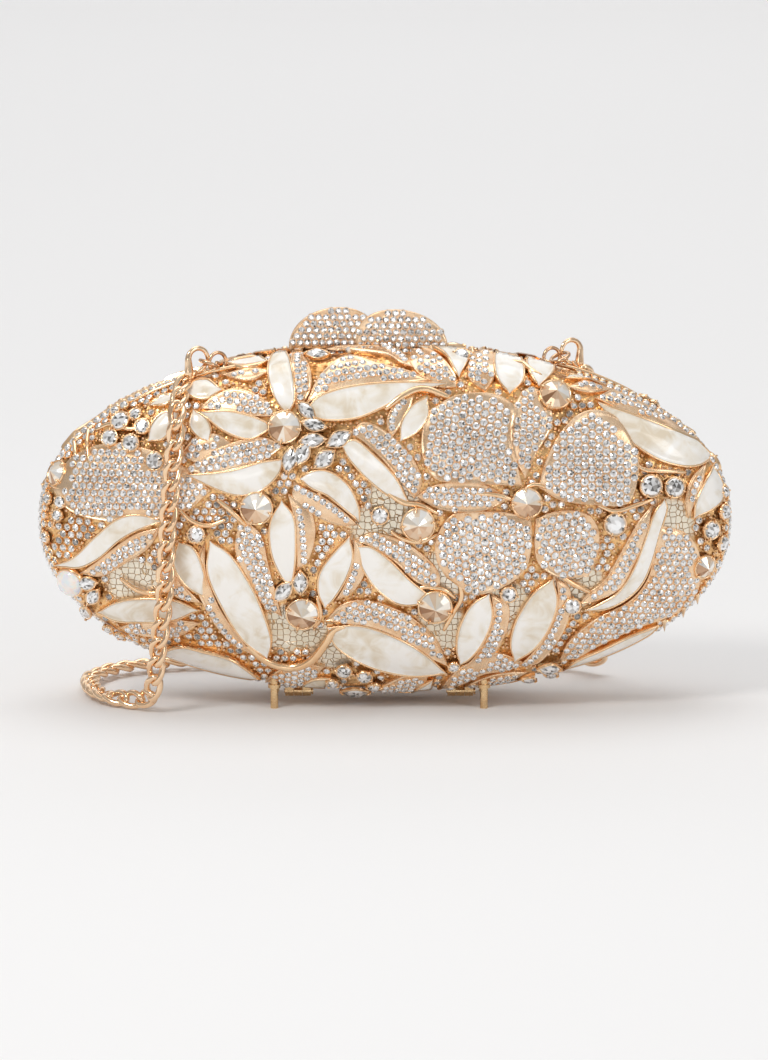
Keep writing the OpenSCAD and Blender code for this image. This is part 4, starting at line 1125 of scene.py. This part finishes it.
def build_rims():
    """The string of small stones in cups round each rim."""
    bag = Bag()
    a, b = 118.2, 58.7
    x, z = oval(a, b, np.linspace(0, 2 * np.pi, 4000))
    d = np.concatenate([[0], np.cumsum(np.hypot(np.diff(x), np.diff(z)))])

    def rim(q):
        """The rim's point at distance q along it, and its direction there."""
        tx = np.interp(q + 0.5, d, x) - np.interp(q - 0.5, d, x)
        tz = np.interp(q + 0.5, d, z) - np.interp(q - 0.5, d, z)
        return np.interp(q, d, x), np.interp(q, d, z), tx, tz

    count = int(d[-1] / 2.75)
    for k in range(count):
        px, pz, tx, tz = rim(d[-1] * k / count)
        out = np.array([tz, 0, -tx]) / math.hypot(tx, tz)
        if (pz < 20 and 18 < abs(px) < 37) or (pz > 100 and 50 < abs(px) < 66):
            continue
        n = out * 0.8 + np.array([0, -0.6, 0])
        set_stone(bag, "small", np.array([px, -1.75, pz]) + out * 0.15, n / np.linalg.norm(n), 1.12, k * 0.7)
    # two more rows on the steep edge of the shell, where no leaf lies
    gems = [(*face(*seen((g[0], g[1]))[0], 1.5)[0], g[2]) for g in RIVOLI + ROUND + CABOCHON + NAVETTE]
    for depth, inset in ((5.7, 0.998), (8.5, 0.988)):
        for k in range(int(d[-1] / 2.9)):
            px, pz, tx, tz = rim(d[-1] * (k + 0.5 * (depth > 8)) / int(d[-1] / 2.9))
            px, pz = px * inset * A / a, MID + (pz - MID) * inset * B / b
            hinge, eyelet = pz < 20 and 18 < abs(px) < 42, pz > 100 and 50 < abs(px) < 66
            if hinge or eyelet or (pz > 118 and abs(px + 6) < 14):
                continue
            spot = np.array([[px, pz]])
            if any(inside(spot, o)[0] or edge_gap(spot, o)[0] < 0.9 for o in OUTLINES):
                continue
            c = np.array([px, -depth, pz])
            if any(np.linalg.norm(c - g[:3]) < g[3] + 1.2 for g in gems):
                continue
            n = np.array([tz, 0, -tx]) / math.hypot(tx, tz) * 0.95 + [0, -0.31 if depth < 8 else -0.45, 0]
            n /= np.linalg.norm(n)
            set_stone(bag, "small", c + n * 0.75, n, 1.15, k * 0.9)
    both("rim_stones", bag.make("front_rim_stones", [CRYSTAL, GOLD]), "crystal", "cup_chain")


# ---------------------------------------------------------------- hardware
def dress(node, mat, width=0.00025, segments=3):
    o = frame["nodes"][node]
    o.data.materials.clear()
    o.data.materials.append(mat)
    for p in o.data.polygons:
        p.use_smooth = True
    if width:
        m = o.modifiers.new("edges", "BEVEL")
        m.width, m.segments, m.limit_method, m.angle_limit = width, segments, "ANGLE", math.radians(35)
        m.harden_normals = False
    w = o.modifiers.new("normals", "WEIGHTED_NORMAL")
    w.keep_sharp = True
    return o


def build_petals():
    """Two pave petals of the clasp, in front of its lever."""
    top = 121.6
    for name, xc, y0, lean, half, high in (("clasp_petal_left", -17.8, 1.6, 2.2, 15.2, 14.2),
                                           ("clasp_petal_right", 5.8, 0.4, -2.6, 15.8, 13.6)):
        bag = Bag()
        n = 40
        a = np.linspace(0, math.pi, n)
        edge = np.stack([half * np.cos(a), high * np.sin(a) ** 0.8], -1)
        root = np.stack([half * 0.9 * np.cos(a), 0 * a], -1)
        v = []
        cols = [(0.0, 0.55), (0.0, 0.2), (0.012, -0.2), (0.035, -0.35), (0.06, -0.25)]
        cols += [(s, -0.2 - 0.5 * math.sin(math.pi * s)) for s in np.linspace(0.16, 1, 8)]
        for side in (1, -1):
            for s, dy in cols:
                p = edge * (1 - s) + root * s
                x = xc + p[:, 0] + lean * (p[:, 1] / high) ** 1.5
                v.append(np.stack([x, np.full(n, y0 + (dy if side == 1 else 0.6)), top + 1.0 + p[:, 1]], -1))
        k = len(cols)
        g = np.array(v)
        bag.put(g[:k].transpose(1, 0, 2).reshape(-1, 3), [q[::-1] for q in grid_faces(n, k)], 1)
        bag.put(g[k:].transpose(1, 0, 2).reshape(-1, 3), grid_faces(n, k), 1)
        outline = np.vstack([edge, [[half * 0.9, -1], [-half * 0.9, -1]][::-1]])
        for row in range(8):
            zz = high - 1.3 - row * 2.52 * 0.86
            q = np.stack([(np.arange(-7, 8) + 0.5 * (row % 2)) * 2.52, np.full(15, zz)], -1)
            q = q[inside(q, outline)]
            q = q[edge_gap(q, outline) > 0.85] if len(q) and zz > 0.3 else q[:0]
            for xx, _ in q:
                at = [xc + xx + lean * (zz / high) ** 1.5, y0, top + 1.0 + zz]
                bulge = 0.5 * math.sin(math.pi * min(1, zz / high))
                facing = np.array([RNG.normal(0, 0.07), -1, 0.1]) / 1.01
                set_stone(bag, "small", np.add(at, [0, -0.35 - bulge, 0]), facing, 1.14,
                          RNG.uniform(0, 6), lift=0.1)
                set_stone(bag, "small", np.add(at, [0, 0.6, 0]), np.array([0.0, 1, 0]), 1.13,
                          RNG.uniform(0, 6), lift=0.1)
        o = bag.make(name + "_pave", [CRYSTAL, PLATE], body="clasp_lever", slot="pave")
        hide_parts(name)


def build_tackle():
    """The rings that stand on the rim and the claws of the chain, with their sprung gates."""
    turn, lean = math.radians(30), math.radians(28)
    rz = np.array([[math.cos(turn), -math.sin(turn), 0], [math.sin(turn), math.cos(turn), 0], [0, 0, 1]])
    ry = np.array([[math.cos(lean), 0, math.sin(lean)], [0, 1, 0], [-math.sin(lean), 0, math.cos(lean)]])
    hook = np.array([-63.83, -8.654, 120.575])

    def world(v, thin=0.8):
        return hook + (np.asarray(v) * [1, thin, 1]) @ (rz @ ry).T

    def flat(points, n=24):
        p = smooth(points, n)
        return np.stack([p[:, 0], 0 * p[:, 0], p[:, 1]], -1)

    arc = [(3.72 * math.cos(math.radians(a)), 3.72 * math.sin(math.radians(a))) for a in range(17, 216, 14)]
    body = Bag()
    thick = np.interp(np.linspace(0, 1, 34), [0, 0.08, 0.5, 0.75, 0.92, 1],
                      [0.45, 0.78, 0.92, 1.35, 1.75, 1.0])
    v, f = tube(flat(arc + [(-1.9, -3.9), (-0.9, -5.6), (0, -7.2)], 34), thick, 14)
    body.put(world(v), f)
    v, f = tube(flat([(0.4, -3.9), (0.9, -5.0), (0.1, -6.8)], 12), np.linspace(0.9, 1.3, 12), 12)
    body.put(world(v), f)
    v, f = tube(flat([(0, -6.9), (0, -7.5)], 4), 0.95, 12)
    body.put(world(v, 1), f)
    a = np.linspace(0, 2 * math.pi, 28, endpoint=False)
    v, f = tube(np.stack([1.5 * np.cos(a), 0 * a, -8.7 + 1.5 * np.sin(a)], -1), 0.5, 9, closed=True)
    body.put(world(v, 1), f)
    gate = Bag()
    arc = [(1.9, -4.2), (2.9, -2.9)]
    arc += [(3.72 * math.cos(math.radians(t)), 3.72 * math.sin(math.radians(t))) for t in (-30, -12, 3)]
    thick = np.interp(np.linspace(0, 1, 16), [0, 0.3, 0.9, 1], [0.75, 0.85, 0.75, 0.5])
    v, f = tube(flat(arc, 16), thick, 12)
    gate.put(world(v), f)
    v, f = tube(flat([(3.6, -2.3), (4.9, -2.75)], 6), np.array([0.5, 0.6, 0.85, 0.9, 0.75, 0.4]), 10)
    gate.put(world(v), f)
    loop = Bag()
    a = np.linspace(0, 2 * math.pi, 40, endpoint=False)
    c = np.stack([3.2 * np.cos(a), 0 * a, 3.2 * np.sin(a)], -1) @ rz.T + [-57.2, -5, 119.0]
    v, f = tube(c, 0.66, 10, closed=True)
    loop.put(v, f)
    for bag, mat, part in ((body, CHAIN, "claw"), (gate, CHAIN, "claw_trigger"), (loop, RING, "eyelet")):
        left = bag.make("left_" + part + "_cast", [mat], slot="rose_gold")
        right = place("right_" + part + "_cast", left.data, None, back=True)
        for o, side, half in ((left, "left_", "front_half"), (right, "right_", "back_half")):
            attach(o, side + part if part == "claw_trigger" else half)
            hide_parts(side + part)


def build_hardware():
    for n in ("front_frame", "back_frame"):
        dress(n, GOLD, 0.0003)
    for n in ("front_feet", "back_feet", "front_hinge_leaves", "back_hinge_leaves", "hinge_pins"):
        dress(n, PEG, 0.0002)
    for n in ("clasp_catch", "clasp_bracket", "clasp_pin", "clasp_lever"):
        dress(n, GOLD, 0.0002)
    dress("clasp_spring", STEEL, 0)
    for n in ("left_ring", "right_ring"):
        dress(n, RING, 0)
    build_tackle()


# ---------------------------------------------------------------- floor and light
def stage():
    me = bpy.data.meshes.new("floor")
    a = np.linspace(0, math.pi / 2, 24)
    line = [(-4, 0)] + [(2.0 + 2.5 * math.sin(k), 2.5 - 2.5 * math.cos(k)) for k in a] + [(4.5, 8)]
    v = [(x, y, z) for y, z in line for x in (-7, 7)]
    me.from_pydata(v, [], [(2 * i, 2 * i + 1, 2 * i + 3, 2 * i + 2) for i in range(len(line) - 1)])
    me.polygons.foreach_set("use_smooth", np.ones(len(me.polygons), bool))
    o = bpy.data.objects.new("floor", me)
    bpy.context.scene.collection.objects.link(o)
    m, t, b = material("paper")
    n = add(t, "ShaderNodeTexNoise", Scale=0.8, Detail=1.0)
    t.links.new(coords(t), n.inputs["Vector"])
    t.links.new(ramp(t, n.outputs["Fac"], [(0.3, (0.865, 0.86, 0.86)), (0.7, (0.885, 0.88, 0.88))]),
                b.inputs["Base Color"])
    b.inputs["Roughness"].default_value = 0.9
    b.inputs["Specular IOR Level"].default_value = 0.1
    me.materials.append(m)

    def lamp(name, at, size, watts, colour=(1, 1, 1), aim=(0, 0, 0.06)):
        light = bpy.data.lights.new(name, "AREA")
        light.shape, light.size, light.size_y = "RECTANGLE", size[0], size[1]
        light.energy, light.color = watts, colour
        l = bpy.data.objects.new(name, light)
        l.location = at
        d = np.array(aim) - np.array(at)
        down = math.atan2(math.hypot(d[0], d[1]), -d[2])
        l.rotation_euler = (down, 0, math.atan2(d[1], d[0]) - math.pi / 2)
        bpy.context.scene.collection.objects.link(l)

    lamp("key", (-0.8, -1.0, 1.4), (0.45, 0.45), 9, (1.0, 0.99, 0.97))
    lamp("fill", (1.2, -1.1, 0.7), (0.5, 0.7), 3.5, (0.98, 0.99, 1.0))
    lamp("top", (0.0, 0.4, 1.9), (1.6, 1.2), 11)
    lamp("rear", (0.0, 2.1, 1.3), (3.0, 1.6), 10.5, aim=(0, 2.0, 0))
    lamp("low", (-0.3, -1.9, 0.25), (0.8, 0.2), 1.2)
    w = bpy.data.worlds.new("studio")
    w.use_nodes = True
    t = w.node_tree
    g = add(t, "ShaderNodeTexCoord")
    x = add(t, "ShaderNodeSeparateXYZ")
    t.links.new(g.outputs["Generated"], x.inputs["Vector"])
    c = ramp(t, x.outputs["Z"], [(0.0, (0.62, 0.62, 0.63)), (0.12, (0.46, 0.45, 0.45)),
                                 (0.5, (0.62, 0.62, 0.62)), (0.9, (0.80, 0.80, 0.80))])
    t.links.new(c, t.nodes["Background"].inputs["Color"])
    t.nodes["Background"].inputs["Strength"].default_value = 0.75
    bpy.context.scene.world = w
    bpy.context.scene.view_settings.view_transform = "Standard"


links, route, length = chain()
build_shells()
build_ornament()
build_rims()
build_petals()
build_hardware()
stage()
